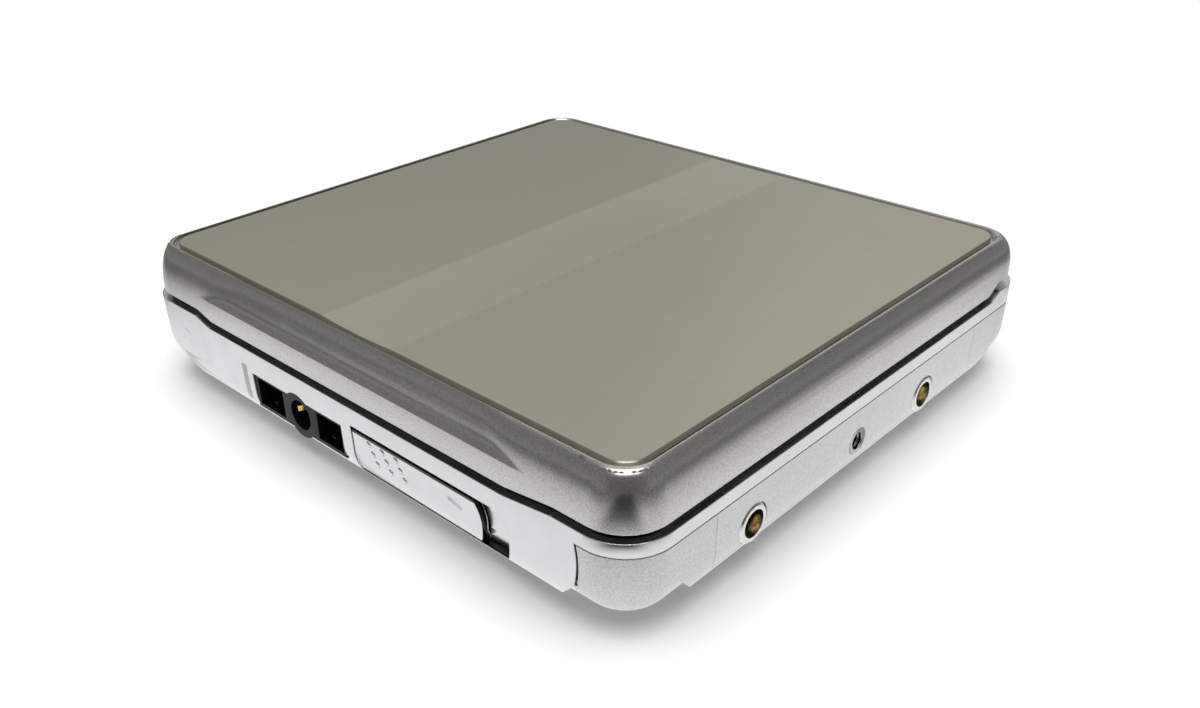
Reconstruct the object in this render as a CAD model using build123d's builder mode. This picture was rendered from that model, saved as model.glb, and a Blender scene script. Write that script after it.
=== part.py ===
from build123d import *
import os
from math import cos, pi, sin

# Pocket disc player with a lid hinged along its back edge.
# Millimetres. +Z is up, +X is the player's right side, -Y is its front, where the lid opens.
# The origin is on the underside, in the middle of the case seen from above.

os.makedirs("parts", exist_ok=True)

# ------------------------------------------------------------------ overall sizes
case_width = 80.0  # along X
case_depth = 73.5  # along Y
case_height = 17.2  # underside to the face of the top plate
case_corner = 5.4  # plan radius of the case corners
wall = 1.2  # wall of the lower case
belly_radius = 4.8  # round along the bottom edge
inner_chamfer = 2.2  # along the bottom edge, on the inside
wall_draft = 1.5  # degrees, the lower case narrows towards the floor
corner_lift = 1.2  # the four bottom corners stand this far off the table
corner_floor = 0.9  # floor thickness over the lifted corners
belly_half_x = 25.6  # half width of the low middle of the underside, front and back
belly_half_y = 22.2  # half width of the low middle of the underside, left and right
belly_ramp = 4.5  # run of the slope from the belly up to a lifted corner

# ------------------------------------------------------------------ parting line of body and lid
rim_bottom = 9.45
rim_top = 10.95
rim_wall = 1.2
part_gap = 0.1  # hairline between pieces that are clipped together
seam_gap = 0.65  # open seam between rim and lid
dip = 0.75  # the seam drops along the middle of the front
dip_bend = 2.25  # radius of its four bends
dip_left = -28.3
dip_left_run = 2.8
dip_right = 30.6
dip_right_run = 6.2
rear_rise = 0.85  # the seam steps up beside the hinge
rear_step = 6.8  # distance of that step from the back of the case
rear_step_run = 2.0
rear_gap = 1.0

# ------------------------------------------------------------------ lid
lid_inset = 0.4  # lid stands inside the rim's outline
lid_wall = 1.35
lid_front_wall = 1.8  # thicker, because the finger flute is cut into it
lid_roof = 0.95
edge_round = 1.75  # how far the rounded top edge reaches in
edge_drop = 3.0  # how far it reaches down
plate_margin = 2.55  # lid face to top plate
plate_groove = 0.65  # open groove round the top plate
plate_thickness = 0.55
plate_corner = 2.6
plate_chamfer = 0.12
plate_bed = 0.05  # adhesive under the plate
channel_width = 12.0  # shallow channel that crosses the top plate
channel_depth = 0.12
flute_half = 28.6  # half length of the finger flute
flute_run_out = 5.6  # length of each pointed end
flute_depth = 1.05
flute_floor = 13.4  # sharp lower edge of the flute
flute_rise = 1.25
flute_hollow = 0.28  # bow of its section
flute_sweep = 0.45  # bow of each pointed end
frame_inset = 0.62  # dark frame behind the lid's edge
frame_thickness = 0.7
frame_height = 1.9
frame_play = 0.05
frame_end_gap = 1.0

# ------------------------------------------------------------------ disc cartridge (not supplied) and holder
disc_width = 72.0
disc_depth = 68.0
disc_height = 5.0
disc_front = 2.45  # front of the cartridge to the face of the case
disc_floor = 9.7
holder_sheet = 0.4
holder_play = 0.15
holder_lip = 3.0
holder_setback = 6.3  # the cartridge stands out of the holder by this much
holder_pivot_y = 4.55  # pivot to the back of the case
holder_pivot_z = 12.0
holder_pin_radius = 0.5
holder_wall_gap = 0.4  # back wall to the hinges
holder_wall_lift = 0.6
holder_ear = 1.4  # sheet under the pivot
holder_opening = 1.2
holder_notch_width = 34.0
holder_notch_depth = 13.0
holder_notch_corner = 4.5
holder_window_width = 40.0
holder_window_depth = 26.0
holder_window_back = 9.0  # behind the middle of the disc
holder_window_corner = 3.0
bracket_sheet = 0.6
bracket_gap = 0.5
bracket_front = 0.85
bracket_rear = 0.75
bracket_top = 0.9
bracket_foot_half = 1.6
bracket_foot_rear = 1.2

# ------------------------------------------------------------------ hinge
hinge_back = 1.1  # axis to the back of the case
hinge_barrel = 1.05
hinge_pin_radius = 0.45
hinge_offset = 25.0  # middle of each hinge from the centre line
hinge_lid_length = 7.0
hinge_case_length = 3.0
hinge_web = 2.5  # carries the lid's knuckle on its back wall
running_clearance = 0.03
barrel_clearance = 0.25
end_clearance = 0.15

# ------------------------------------------------------------------ screws and the posts that take them
boss_radius = 1.6
screw_shank = 0.6
screw_bore = screw_shank + 0.02
screw_head = 1.25
screw_head_height = 0.75
head_sink = 0.05  # below the face round it
front_post_x = 32.0
front_post_inset = 7.2  # from the front of the case
rear_post_x = 33.2
rear_post_inset = 3.5  # from the back of the case
lug_low = 7.4
lug_sheet = 0.55
lug_half = 1.0

# ------------------------------------------------------------------ mechanism
deck_floor = 8.1
deck_sheet = 0.6
deck_left = -33.5
deck_right = 37.6
deck_front = -23.0
deck_back = 12.6
deck_bore = 2.2
deck_corner = 1.5
deck_hole_places = ((-19.0, -3.0), (-19.0, 6.0))  # lightening holes
deck_hole_width = 9.0
deck_hole_depth = 4.0
window_half = 8.8
window_margin = 0.75
damper_flange = 1.75
damper_neck = 1.4
damper_foot = 1.1  # soft mount under the deck
damper_cap = 0.4  # and over it
damper_x = 31.0
damper_from_front = 2.4
damper_from_back = 2.2
spindle_damper = (2.6, 10.6)  # beside the spindle motor, clear of the pickup's travel
deck_screw_head = 1.6
head_sheet = 0.4
screw_reach = 3.9  # how far a deck screw goes into its boss
spindle_radius = 9.2
spindle_floor = 3.2
turntable_top = 10.6
table_radius = 5.2
hub_radius = 3.0
hub_taper = 14.0  # degrees
table_lift = 0.3
table_sheet = 0.4
table_rim_inset = 0.15
table_rim = 0.7
table_rim_gap = 1.5
table_rim_height = 0.3
magnet_sheet = 0.2
shaft_radius = 0.75
shaft_sink = 0.4  # end of the shaft below the top of the hub
rotor_step = 0.2
rotor_height = 2.4
rotor_gap = 0.2
rotor_wall = 0.8
rotor_roof = 0.5
stator_radius = 7.9
stator_height = 2.0
motor_posts = (120, 190, 280)  # degrees round the spindle
motor_sheet = 0.6
motor_ear = 1.9
motor_ear_reach = 1.4
motor_post = 0.8
rod_radius = 0.6
rod_height = 6.3
rod_rear_offset = 10.4
rod_front_offset = 9.4
rod_left = 5.6
rod_right = 37.2
cradle_drop = 0.7
cradle_left = 2.0
cradle_right = 1.7
cradle_inner = 1.5
cradle_outer = 0.4
bearing_gap = 0.3
bearing_length = 1.2
bearing_half = 1.5
bearing_drop = 1.4
lens_inner = 14.0  # lens centre when the pickup is at the inner tracks
pickup_travel = 16.0
pickup_half = 5.0
base_reach = 8.3
base_overhang = 1.6
base_clearance = 0.2
base_low = 4.4
rotor_room = 0.6
well_half = 4.9
well_width = 6.0
well_depth = 1.0
sleeve_end = 3.2  # each half of the bearing on the rear rod
relief_half = 1.3
fork_half = 1.8
fork_reach = 1.3
fork_drop = 1.2
fork_step = 0.3
follower_half = 3.0
follower_sheet = 0.45
nut_depth = 2.0
nut_rise = 1.0
magnet_half = 2.5
magnet_gap = 0.35
magnet_rise = 0.9
lens_holder_half = 3.5
lens_holder_width = 5.0
lens_holder_corner = 0.6
lens_holder_height = 1.5
lens_sink = 0.3
lens_radius = 1.6
lens_seat = 0.8
lens_crown_rise = 0.25
lens_curve = 3.4  # radius of the lens's crown
screw_radius = 0.8
journal_radius = 0.5
motor_shaft = 0.35
screw_offset = 13.0
screw_height = 5.9
gear_module = 0.22
screw_teeth = 24
pinion_teeth = 10
gear_width = 1.0
gear_slot_width = 2.2
gear_slot_length = 6.6
gear_x = -13.0
gear_root = 1.35  # in modules, below the pitch circle
gear_tip = 0.8  # in modules, above it
gear_land = 0.15  # half width of a tooth's tip, as a share of half a tooth's pitch
motor_gap = 2.0
motor_length = 12.0
motor_width = 8.0
motor_height = 4.2
motor_boss = 1.2
motor_boss_length = 0.5
spindle_sink = 1.6  # how far the spindle goes into the motor

# ------------------------------------------------------------------ circuit board
board_floor = 1.45
board_sheet = 0.6
board_half = 29.0
board_tongue = 12.0  # narrower part in front
board_tongue_half = 23.5
board_play = 0.3
# width, depth and place of each chip
chip_sizes = ((8, 8, -20, -4), (10, 10, 17, -12), (6, 5, -20, 7), (5, 4, 20, 6), (4, 6, -6, -17))
chip_height = 0.8

# ------------------------------------------------------------------ battery bay
battery_length = 67.0
battery_width = 17.0
battery_height = 6.0
battery_front = 13.6
battery_floor = 2.3
battery_corner = 1.2
battery_button = 1.0
contact_leaf = 0.3  # sheet of the battery contacts
leaf_half = 1.8
leaf_pitch = 6.8
leaf_plate_half = 1.2
leaf_width = 2.0
battery_inset = 2.6  # from the wall, clear of the round along the bottom edge
bay_rib = 0.8
bay_rib_top = 7.8
bay_low_rib = 0.6
bay_low_rib_top = 5.0
bay_low_rib_start = 3.0
bay_stop_inset = 5.0
bay_spring_room = 2.6  # for the contacts at the battery's end
bay_play = 0.2

# ------------------------------------------------------------------ front panel, socket and slider
panel_low = 1.5  # lower edge of the bright front panel
panel_depth = 5.6  # how far it wraps round the front left corner
panel_end = 33.4  # crescent joint near the right corner
panel_end_bulge = 0.9
crescent = 0.3  # open gap behind the crescent joint
crescent_low = 4.6
crescent_depth = 0.9
crescent_reach = 3.0
lamp_x = -18.8
lamp_width = 0.9
lamp_low = 3.4
lamp_high = 7.9
socket_left = -17.2
socket_right = -0.5
socket_low = 2.95
socket_high = 7.2
jack_x = -8.6
jack_z = 5.05
jack_boss = 2.75
jack_bore = 1.8
jack_depth = 12.0
socket_depth = 13.6
socket_setback = 0.35
socket_play = 0.06
wing_wall = 0.45
wing_depth = 4.2
blade_slot_start = 3.0  # slot over the bore for the sprung contact
blade_slot_length = 6.0
blade_slot_width = 1.0
blade_width = 0.8
blade_sheet = 0.15
wing_contact_places = (0.28, 0.72)  # as shares of a wing's width
wing_contact = 0.7
wing_contact_sheet = 0.2
slider_left = 1.4
slider_right = 20.1
slider_low = 2.3
slider_high = 7.55
slider_bulge = 1.1
slider_thickness = 0.62
slider_setback = 0.1  # the slider's face lies this far behind the panel's
slider_play = 0.12
end_slot = 0.4  # open slot beside the slider's bowed end
pocket_depth = 0.8
pocket_right = 23.9
pocket_high = 8.0
slider_travel = 2.9
slot_margin = 0.3  # spare length of the stem slot
stem_low = 4.55
stem_high = 4.95
stem_left = 7.0
stem_right = 13.0
stem_root = 0.4  # the stem starts inside the slider's face
latch_setback = 2.5
latch_sheet = 0.5
latch_overhang = 3.2
latch_tab_drop = 1.2
claw_inner = 0.4
claw_outer = 2.6
claw_height = 0.45
spring_height = 6.2
spring_folds = 9
spring_swing = 0.7
spring_wire = 0.2
spring_sheet = 0.3
latch_low = 8.05
latch_high = 8.95
catch_x = 25.5
catch_width = 4.0
catch_inset = 0.45  # let into the front wall of the lid
catch_top = 13.5
catch_drop = 0.2  # it hangs this far below the latch plate's lower edge
catch_slot_half = 1.1
catch_slot_low = 0.6
catch_slot_height = 0.9

# ------------------------------------------------------------------ right side
terminal_near = -19.2
terminal_far = 12.9
terminal_height = 5.0
sleeve_radius = 2.2
sleeve_bore = 1.5
sleeve_length = 3.6
sleeve_chamfer = 0.3
contact_half = 1.7
contact_sheet = 0.6
contact_pin = 0.8
contact_tip = 0.35
bush_y = -0.9
bush_height = 5.4
bush_radius = 1.5
bush_bore = 1.0
bush_length = 4.0
side_panel_near = -25.0
side_panel_far = 24.1
side_panel_low = 3.1
side_panel_thickness = 0.55
side_panel_play = 0.05
side_panel_reach = 10.0
side_bore_depth = 4.0
seat_play = 0.03

# ------------------------------------------------------------------ left side
key_centres = (-22.0, -12.5, -3.0)
key_length = 7.6
key_height = 2.6
key_z = 6.9
key_corner = 0.5
key_play = 0.15
key_travel = 0.3
key_flange = 0.5
key_flange_gap = 0.25
key_flange_margin = 0.5  # wider than the cap, all round
key_chamfer = 0.2
key_board_depth = 2.4  # inner face of the wall to the board
key_board_low = 3.4
key_board_high = 9.0
key_board_sheet = 0.6
key_board_margin = 0.4
hold_switch_room = 4.6
switch_half = 1.5
switch_button = 0.6
switch_button_height = 0.3
hold_switch_half = 2.6
hold_y = 5.2
hold_length = 3.0
hold_flange = 0.5  # its slide is this much longer than its grip, at each end
hold_window = 1.4
hold_groove = 0.2
hold_groove_pitch = 0.6
hold_grip_half = 0.55
hold_slide_half = 1.1
hold_travel = 2.0
side_window_depth = 3.7  # the windows are cut from just outside the wall
door_headroom = 0.4
door_hinge_radius = 0.62
door_hinge_depth = 0.15
door_pin_radius = 0.25
door_pin_overhang = 0.8
barrel_low = 5.3
barrel_from_top = 0.5
barrel_room = 0.18
barrel_play = 0.15
door_link = 0.45
door_reach = 4.0  # the door takes the bottom round with it
door_play = 0.12
door_swing_gap = 0.42  # its edge beside the hinge turns past the corner of the window

# ------------------------------------------------------------------ places worked out from the sizes above
front = -case_depth / 2
back = case_depth / 2
right = case_width / 2
left = -right
disc_y = front + disc_front + disc_depth / 2
lid_width = case_width - 2 * lid_inset
lid_depth = case_depth - 2 * lid_inset
lid_corner = case_corner - lid_inset
lid_edge = rim_top + seam_gap
seat_floor = case_height - plate_thickness - plate_bed
hinge_y = back - hinge_back
hinge_z = rim_top + rear_rise + seam_gap / 2
deck_top = deck_floor + deck_sheet
over = 30.0  # cutters that trim from outside run this far
hair = 0.01  # a cutter's overlap with its neighbour, so that no skin is left
to_front = case_depth / 2 + 1  # from the middle plane to just outside the front


def save(part, name):
    """Label a finished piece and write it as one STEP file."""
    part.label = name
    export_step(part, f"parts/{name}.step")


# ------------------------------------------------------------------ shared forms
def tub(inset, floor, lifted_floor, rounded=True):
    """The lower case as a solid: a tapered tray with a low cross-shaped belly and lifted corners."""
    trays = []
    for bottom in (floor, lifted_floor):
        with BuildPart() as tray:
            with BuildSketch(Plane.XY.offset(rim_bottom)):
                RectangleRounded(case_width - 2 * inset, case_depth - 2 * inset, case_corner - inset)
            extrude(amount=bottom - rim_bottom, taper=wall_draft)
            low_edges = tray.edges().group_by(Axis.Z)[0]
            if rounded:
                fillet(low_edges, belly_radius - inset)
            else:
                chamfer(low_edges, inner_chamfer)
        trays.append(tray.part)
    with BuildPart() as whole:
        add(trays[1])
        for plane, middle_half in ((Plane.XZ, belly_half_x), (Plane.YZ, belly_half_y)):
            add(trays[0] & belly_band(plane, middle_half - inset, floor, lifted_floor))
    return whole.part


def belly_band(plane, half, floor, lifted_floor):
    """The low middle of the tray with its two slopes, as a bar that crosses the case."""
    with BuildPart() as band:
        with BuildSketch(plane):
            with BuildLine():
                Polyline(
                    (-half, floor),
                    (half, floor),
                    (half + belly_ramp, lifted_floor),
                    (half + 2 * belly_ramp, lifted_floor + belly_radius),
                    (-half - 2 * belly_ramp, lifted_floor + belly_radius),
                    (-half - belly_ramp, lifted_floor),
                    close=True,
                )
            make_face()
        extrude(amount=case_width, both=True)
    return band.part


def box_between(low, high):
    """A plain block given by its two opposite corners."""
    sizes = [b - a for a, b in zip(low, high)]
    middle = [(a + b) / 2 for a, b in zip(low, high)]
    return Pos(*middle) * Box(*sizes, mode=Mode.PRIVATE)


def rod_along_x(radius, start, end, y, z):
    """A round bar along X between two x values."""
    bar = Cylinder(radius, end - start, rotation=(0, 90, 0), mode=Mode.PRIVATE)
    return Pos((start + end) / 2, y, z) * bar


def post(radius, start, end, x, y):
    """An upright round post between two heights."""
    return Pos(x, y, (start + end) / 2) * Cylinder(radius, end - start, mode=Mode.PRIVATE)


def prism(place, axis, radius, length, sides):
    """A bar with flat sides whose flats touch a circle, for bores and fasteners that stay out of sight."""
    reach = radius / cos(pi / sides)
    base = Plane(origin=place, z_dir=axis)
    turns = [(number + 0.5) * 2 * pi / sides for number in range(sides)]
    corners = [base.from_local_coords((reach * cos(turn), reach * sin(turn), 0)) for turn in turns]
    return Solid.extrude(Face(Wire.make_polygon(corners)), base.z_dir * length)


def plain_post(radius, start, end, x, y, sides=8):
    """An upright post with flat sides."""
    return prism((x, y, start), (0, 0, 1), radius, end - start, sides)


def plain_rod(radius, start, end, y, z, sides=8):
    """A bar along X with flat sides."""
    return prism((start, y, z), (1, 0, 0), radius, end - start, sides)


def front_block(height, limit):
    """Front zone between the dipped seam line, raised by height, and the level limit."""
    level = rim_top + height
    with BuildPart() as block:
        with BuildSketch(Plane.XZ.offset(case_depth / 2 - panel_depth)) as face:
            with BuildLine():
                Polyline(
                    (left - over, level),
                    (dip_left, level),
                    (dip_left + dip_left_run, level - dip),
                    (dip_right - dip_right_run, level - dip),
                    (dip_right, level),
                    (right + over, level),
                    (right + over, limit),
                    (left - over, limit),
                    close=True,
                )
            make_face()
            bends = [v for v in face.vertices() if left < v.X < right]
            fillet(bends, dip_bend)
        extrude(amount=panel_depth + over)
    return block.part


def rear_block(height, rear_height, limit):
    """The rest of the case between the stepped seam line and the level limit."""
    step = back - rear_step
    with BuildPart() as block:
        with BuildSketch(Plane.YZ) as face:
            with BuildLine():
                Polyline(
                    (front + panel_depth, rim_top + height),
                    (step - rear_step_run, rim_top + height),
                    (step, rim_top + rear_rise + rear_height),
                    (back + over, rim_top + rear_rise + rear_height),
                    (back + over, limit),
                    (front + panel_depth, limit),
                    close=True,
                )
            make_face()
        extrude(amount=case_width, both=True)
    return block.part


outer_tub = tub(0, 0, corner_lift)
inner_tub = tub(wall, wall, corner_lift + corner_floor, rounded=False)
skin_tub = tub(side_panel_thickness, side_panel_thickness, corner_lift + side_panel_thickness)
tub_walls = outer_tub - inner_tub


def panel_region(clearance):
    """Block that parts the bright front panel from the bottom shell."""
    with BuildPart() as region:
        with BuildSketch(Plane.XZ.offset(case_depth / 2 - panel_depth - clearance)):
            with BuildLine():
                edge = panel_end + clearance
                Polyline(
                    (edge, rim_bottom + hair),
                    (left - over, rim_bottom + hair),
                    (left - over, panel_low - clearance),
                    (edge - 2 * panel_end_bulge, panel_low - clearance),
                )
                SagittaArc(
                    (edge - 2 * panel_end_bulge, panel_low - clearance),
                    (edge, rim_bottom + hair),
                    -panel_end_bulge,
                )
            make_face()
        extrude(amount=panel_depth + over)
    return region.part


# ------------------------------------------------------------------ bright front panel and rim, one moulding
socket_mid = (socket_left + socket_right) / 2


def socket_outline(clearance):
    """Two square wings and the round boss of the earphone socket, on the front plane."""
    with BuildSketch(Plane.XZ) as outline:
        with Locations((socket_mid, (socket_low + socket_high) / 2)):
            Rectangle(
                socket_right - socket_left + 2 * clearance,
                socket_high - socket_low + 2 * clearance,
            )
        with Locations((jack_x, jack_z)):
            Circle(jack_boss + clearance)
    return outline.sketch


def slider_outline(clearance, reach):
    """The slider's face: square at the left, bowed at the right; reach lengthens it."""
    end = slider_right + reach
    low = slider_low - clearance
    high = slider_high + clearance
    with BuildSketch(Plane.XZ) as outline:
        with BuildLine():
            Polyline(
                (end, high),
                (slider_left - clearance, high),
                (slider_left - clearance, low),
                (end, low),
            )
            SagittaArc((end, low), (end, high), -slider_bulge)
        make_face()
    return outline.sketch


front_skin = tub_walls & panel_region(0)
pocket_form = outer_tub - tub(pocket_depth, pocket_depth, corner_lift + pocket_depth)
pocket_cut = pocket_form & extrude(slider_outline(slider_play, pocket_right - slider_right), amount=to_front)
slot_depth = wall + end_slot  # through the front wall
slot_over_slider = box_between(
    (slider_left - slider_play, front - 1, slider_high),
    (pocket_right - slider_bulge, front + slot_depth, pocket_high),
)
bowed_slot = extrude(slider_outline(0, end_slot) - slider_outline(0, 0), amount=to_front)
bowed_slot = bowed_slot & box_between((0, front - 1, 0), (right, front + slot_depth, slider_high))
socket_cut = extrude(socket_outline(socket_play), amount=to_front)
knuckle_ends = hinge_lid_length / 2 + end_clearance
hinge_span = knuckle_ends + hinge_case_length
rim_cutters = [front_block(0, case_height), rear_block(0, 0, case_height)]
corner_posts = [
    (-front_post_x, front + front_post_inset),
    (front_post_x, front + front_post_inset),
    (-rear_post_x, back - rear_post_inset),
    (rear_post_x, back - rear_post_inset),
]
corner_post_top = (lug_low, lug_low, deck_floor, deck_floor)

with BuildPart() as front_frame:
    with BuildSketch(Plane.XY.offset(rim_bottom)):
        RectangleRounded(case_width, case_depth, case_corner)
        RectangleRounded(
            case_width - 2 * rim_wall,
            case_depth - 2 * rim_wall,
            case_corner - rim_wall,
            mode=Mode.SUBTRACT,
        )
    extrude(amount=rim_top + rear_rise - rim_bottom)
    add(front_skin)
    for cutter in rim_cutters:
        add(cutter, mode=Mode.SUBTRACT)
    for middle in (-hinge_offset, hinge_offset):
        for start in (middle - hinge_span, middle + knuckle_ends):
            add(rod_along_x(hinge_barrel, start, start + hinge_case_length, hinge_y, hinge_z))
        room = hinge_barrel + barrel_clearance
        notch = rod_along_x(room, middle - knuckle_ends, middle + knuckle_ends, hinge_y, hinge_z)
        add(notch, mode=Mode.SUBTRACT)
        bore = plain_rod(hinge_pin_radius, middle - hinge_span, middle + hinge_span, hinge_y, hinge_z)
        add(bore, mode=Mode.SUBTRACT)
    # two lugs that are screwed to the front corner posts
    for x, y in corner_posts[:2]:
        add(box_between((x - lug_half, front + wall / 2, lug_low), (x + lug_half, y, lug_low + lug_sheet)))
        add(plain_post(boss_radius, lug_low, lug_low + lug_sheet, x, y))
        add(plain_post(screw_bore, lug_low - 1, lug_low + 1, x, y), mode=Mode.SUBTRACT)
    # slot for the indicator strip
    with BuildSketch(Plane.XZ.offset(case_depth / 2 - panel_depth)):
        with Locations((lamp_x, (lamp_low + lamp_high) / 2)):
            Rectangle(lamp_width + socket_play, lamp_high - lamp_low + socket_play)
    extrude(amount=panel_depth + 1, mode=Mode.SUBTRACT)
    add(socket_cut, mode=Mode.SUBTRACT)
    # shallow pocket that the slider runs in, and the slot for its stem
    add(pocket_cut, mode=Mode.SUBTRACT)
    add(slot_over_slider, mode=Mode.SUBTRACT)
    add(bowed_slot, mode=Mode.SUBTRACT)
    with BuildSketch(Plane.XZ.offset(case_depth / 2 - panel_depth)):
        slot_right = stem_right + slider_travel + slot_margin
        with Locations(((stem_left - slider_play + slot_right) / 2, (stem_low + stem_high) / 2)):
            Rectangle(slot_right - stem_left + slider_play, stem_high - stem_low + 2 * slider_play)
    extrude(amount=panel_depth + 1, mode=Mode.SUBTRACT)
save(front_frame.part, "front_frame")

# ------------------------------------------------------------------ bottom shell
door_front = battery_front - bay_play
door_back = battery_front + battery_width + bay_play
door_low = battery_floor - bay_play
door_high = battery_floor + battery_height + door_headroom
door_hinge_x = left + door_hinge_radius + door_hinge_depth
door_hinge_y = door_front - door_hinge_radius - part_gap
damper_y = (deck_front + damper_from_front, deck_back - damper_from_back)
damper_points = [(-damper_x, damper_y[0]), (damper_x, damper_y[0]), (-damper_x, damper_y[1]), spindle_damper]
side_panel_region = box_between(
    (right - side_panel_reach, side_panel_near, side_panel_low),
    (right + 1, side_panel_far, rim_bottom - part_gap),
)
side_panel_seat = box_between(
    (right - side_panel_reach, side_panel_near - side_panel_play, side_panel_low - side_panel_play),
    (right + 1, side_panel_far + side_panel_play, rim_bottom),
)
battery_left = left + wall + battery_inset
barrel_high = door_high - barrel_from_top

crescent_room = box_between(
    (panel_end - crescent_reach, front - 1, crescent_low), (right, front + crescent_depth, rim_bottom)
)
crescent_gap = panel_region(crescent) & crescent_room

with BuildPart() as bottom_shell:
    add(tub_walls)
    add(panel_region(part_gap / 2), mode=Mode.SUBTRACT)
    add(crescent_gap, mode=Mode.SUBTRACT)
    with BuildSketch(Plane.XY.offset(rim_bottom - part_gap)):
        Rectangle(case_width + 1, case_depth + 1)
    extrude(amount=part_gap * 2, mode=Mode.SUBTRACT)
    # seat of the panel let into the right side
    add((outer_tub - skin_tub) & side_panel_seat, mode=Mode.SUBTRACT)
    with BuildSketch(Plane.YZ.offset(right - side_bore_depth)):
        with Locations((terminal_near, terminal_height), (terminal_far, terminal_height)):
            Circle(sleeve_radius + seat_play)
        with Locations((bush_y, bush_height)):
            Circle(bush_radius + seat_play)
    extrude(amount=over, mode=Mode.SUBTRACT)
    # posts under the dampers and in the corners
    for x, y in damper_points:
        add(plain_post(boss_radius, wall / 2, deck_floor - damper_foot, x, y))
        add(plain_post(screw_bore, deck_floor - screw_reach - part_gap, deck_floor, x, y), mode=Mode.SUBTRACT)
    for (x, y), top in zip(corner_posts, corner_post_top):
        add(plain_post(boss_radius, corner_lift + corner_floor / 2, top, x, y))
        add(plain_post(screw_bore, 0, top + 1, x, y), mode=Mode.SUBTRACT)
        head_room = plain_post(screw_head + part_gap, 0, corner_lift + screw_head_height, x, y, 12)
        add(head_room, mode=Mode.SUBTRACT)
    # rib in front of the battery, stop at its end and low rib behind it
    bay_rib_back = battery_front - bay_play
    bay_end = battery_left + battery_length + bay_spring_room
    stop_left = bay_end - bay_rib
    low_rib_left = bay_low_rib_start - bay_end
    low_rib_front = door_back + part_gap
    low_rib_end = (stop_left, low_rib_front + bay_low_rib, bay_low_rib_top)
    for rib in (
        box_between((left, bay_rib_back - bay_rib, 0), (bay_end, bay_rib_back, bay_rib_top)),
        box_between((stop_left, bay_rib_back - bay_rib, 0), (bay_end, back - bay_stop_inset, bay_rib_top)),
        box_between((low_rib_left, low_rib_front, 0), low_rib_end),
    ):
        add(rib & skin_tub)
    # windows of the left side: keys, hold switch, battery door with its hinge
    with BuildSketch(Plane.YZ.offset(left - 1)):
        for y in key_centres:
            with Locations((y, key_z)):
                window = Rectangle(key_length + 2 * key_play, key_height + 2 * key_play)
            chamfer(window.vertices(), key_corner)
        with Locations((hold_y + hold_travel / 2, key_z)):
            Rectangle(hold_length - 2 * hold_flange + hold_travel + 2 * key_play, hold_window)
    extrude(amount=side_window_depth, mode=Mode.SUBTRACT)
    door_window = box_between((left - 1, door_front, door_low), (left + door_reach, door_back, door_high))
    add(door_window, mode=Mode.SUBTRACT)
    barrel_bottom = barrel_low - barrel_play
    barrel_top = barrel_high + barrel_play
    room = post(door_hinge_radius + barrel_room, barrel_bottom, barrel_top, door_hinge_x, door_hinge_y)
    add(room, mode=Mode.SUBTRACT)
    link_far = (door_hinge_x + door_link + hair, door_front + part_gap, barrel_top)
    add(box_between((left - 1, door_hinge_y, barrel_bottom), link_far), mode=Mode.SUBTRACT)
    door_pin_low = barrel_low - door_pin_overhang
    door_pin_high = barrel_high + door_pin_overhang
    pin_hole = plain_post(door_pin_radius, door_pin_low, door_pin_high, door_hinge_x, door_hinge_y)
    add(pin_hole, mode=Mode.SUBTRACT)
save(bottom_shell.part, "bottom_shell")

# ------------------------------------------------------------------ indicator strip
lamp_block = box_between(
    (lamp_x - lamp_width / 2, front - 1, lamp_low), (lamp_x + lamp_width / 2, front + panel_depth, lamp_high)
)
with BuildPart() as indicator_lens:
    add(tub_walls & lamp_block)
save(indicator_lens.part, "indicator_lens")

# ------------------------------------------------------------------ earphone and remote socket
wing_left = (socket_left + wing_wall, jack_x - jack_boss - wing_wall)
wing_right = (jack_x + jack_boss + wing_wall, socket_right - wing_wall)
with BuildPart() as socket_housing:
    with BuildSketch(Plane.XZ.offset(case_depth / 2 - socket_setback - socket_depth)):
        with Locations((socket_mid, (socket_low + socket_high) / 2)):
            Rectangle(socket_right - socket_left, socket_high - socket_low)
        with Locations((jack_x, jack_z)):
            Circle(jack_boss)
    extrude(amount=socket_depth)
    # the wings that take the remote's flat plug
    with BuildSketch(Plane.XZ.offset(case_depth / 2 - socket_setback - wing_depth)):
        for start, end in (wing_left, wing_right):
            with Locations(((start + end) / 2, (socket_low + socket_high) / 2)):
                Rectangle(end - start, socket_high - socket_low - 2 * wing_wall)
    extrude(amount=wing_depth, mode=Mode.SUBTRACT)
    # round bore for the earphone plug, with a slot for the sprung contact over it
    with BuildSketch(Plane.XZ.offset(case_depth / 2 - socket_setback - jack_depth)):
        with Locations((jack_x, jack_z)):
            Circle(jack_bore)
    extrude(amount=jack_depth, mode=Mode.SUBTRACT)
    slot_back = socket_setback + blade_slot_start + blade_slot_length
    with BuildSketch(Plane.XZ.offset(case_depth / 2 - slot_back)):
        with Locations((jack_x, jack_z + jack_bore)):
            Rectangle(blade_slot_width, blade_slot_width)
    extrude(amount=blade_slot_length, mode=Mode.SUBTRACT)
save(socket_housing.part, "socket_housing")

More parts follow.
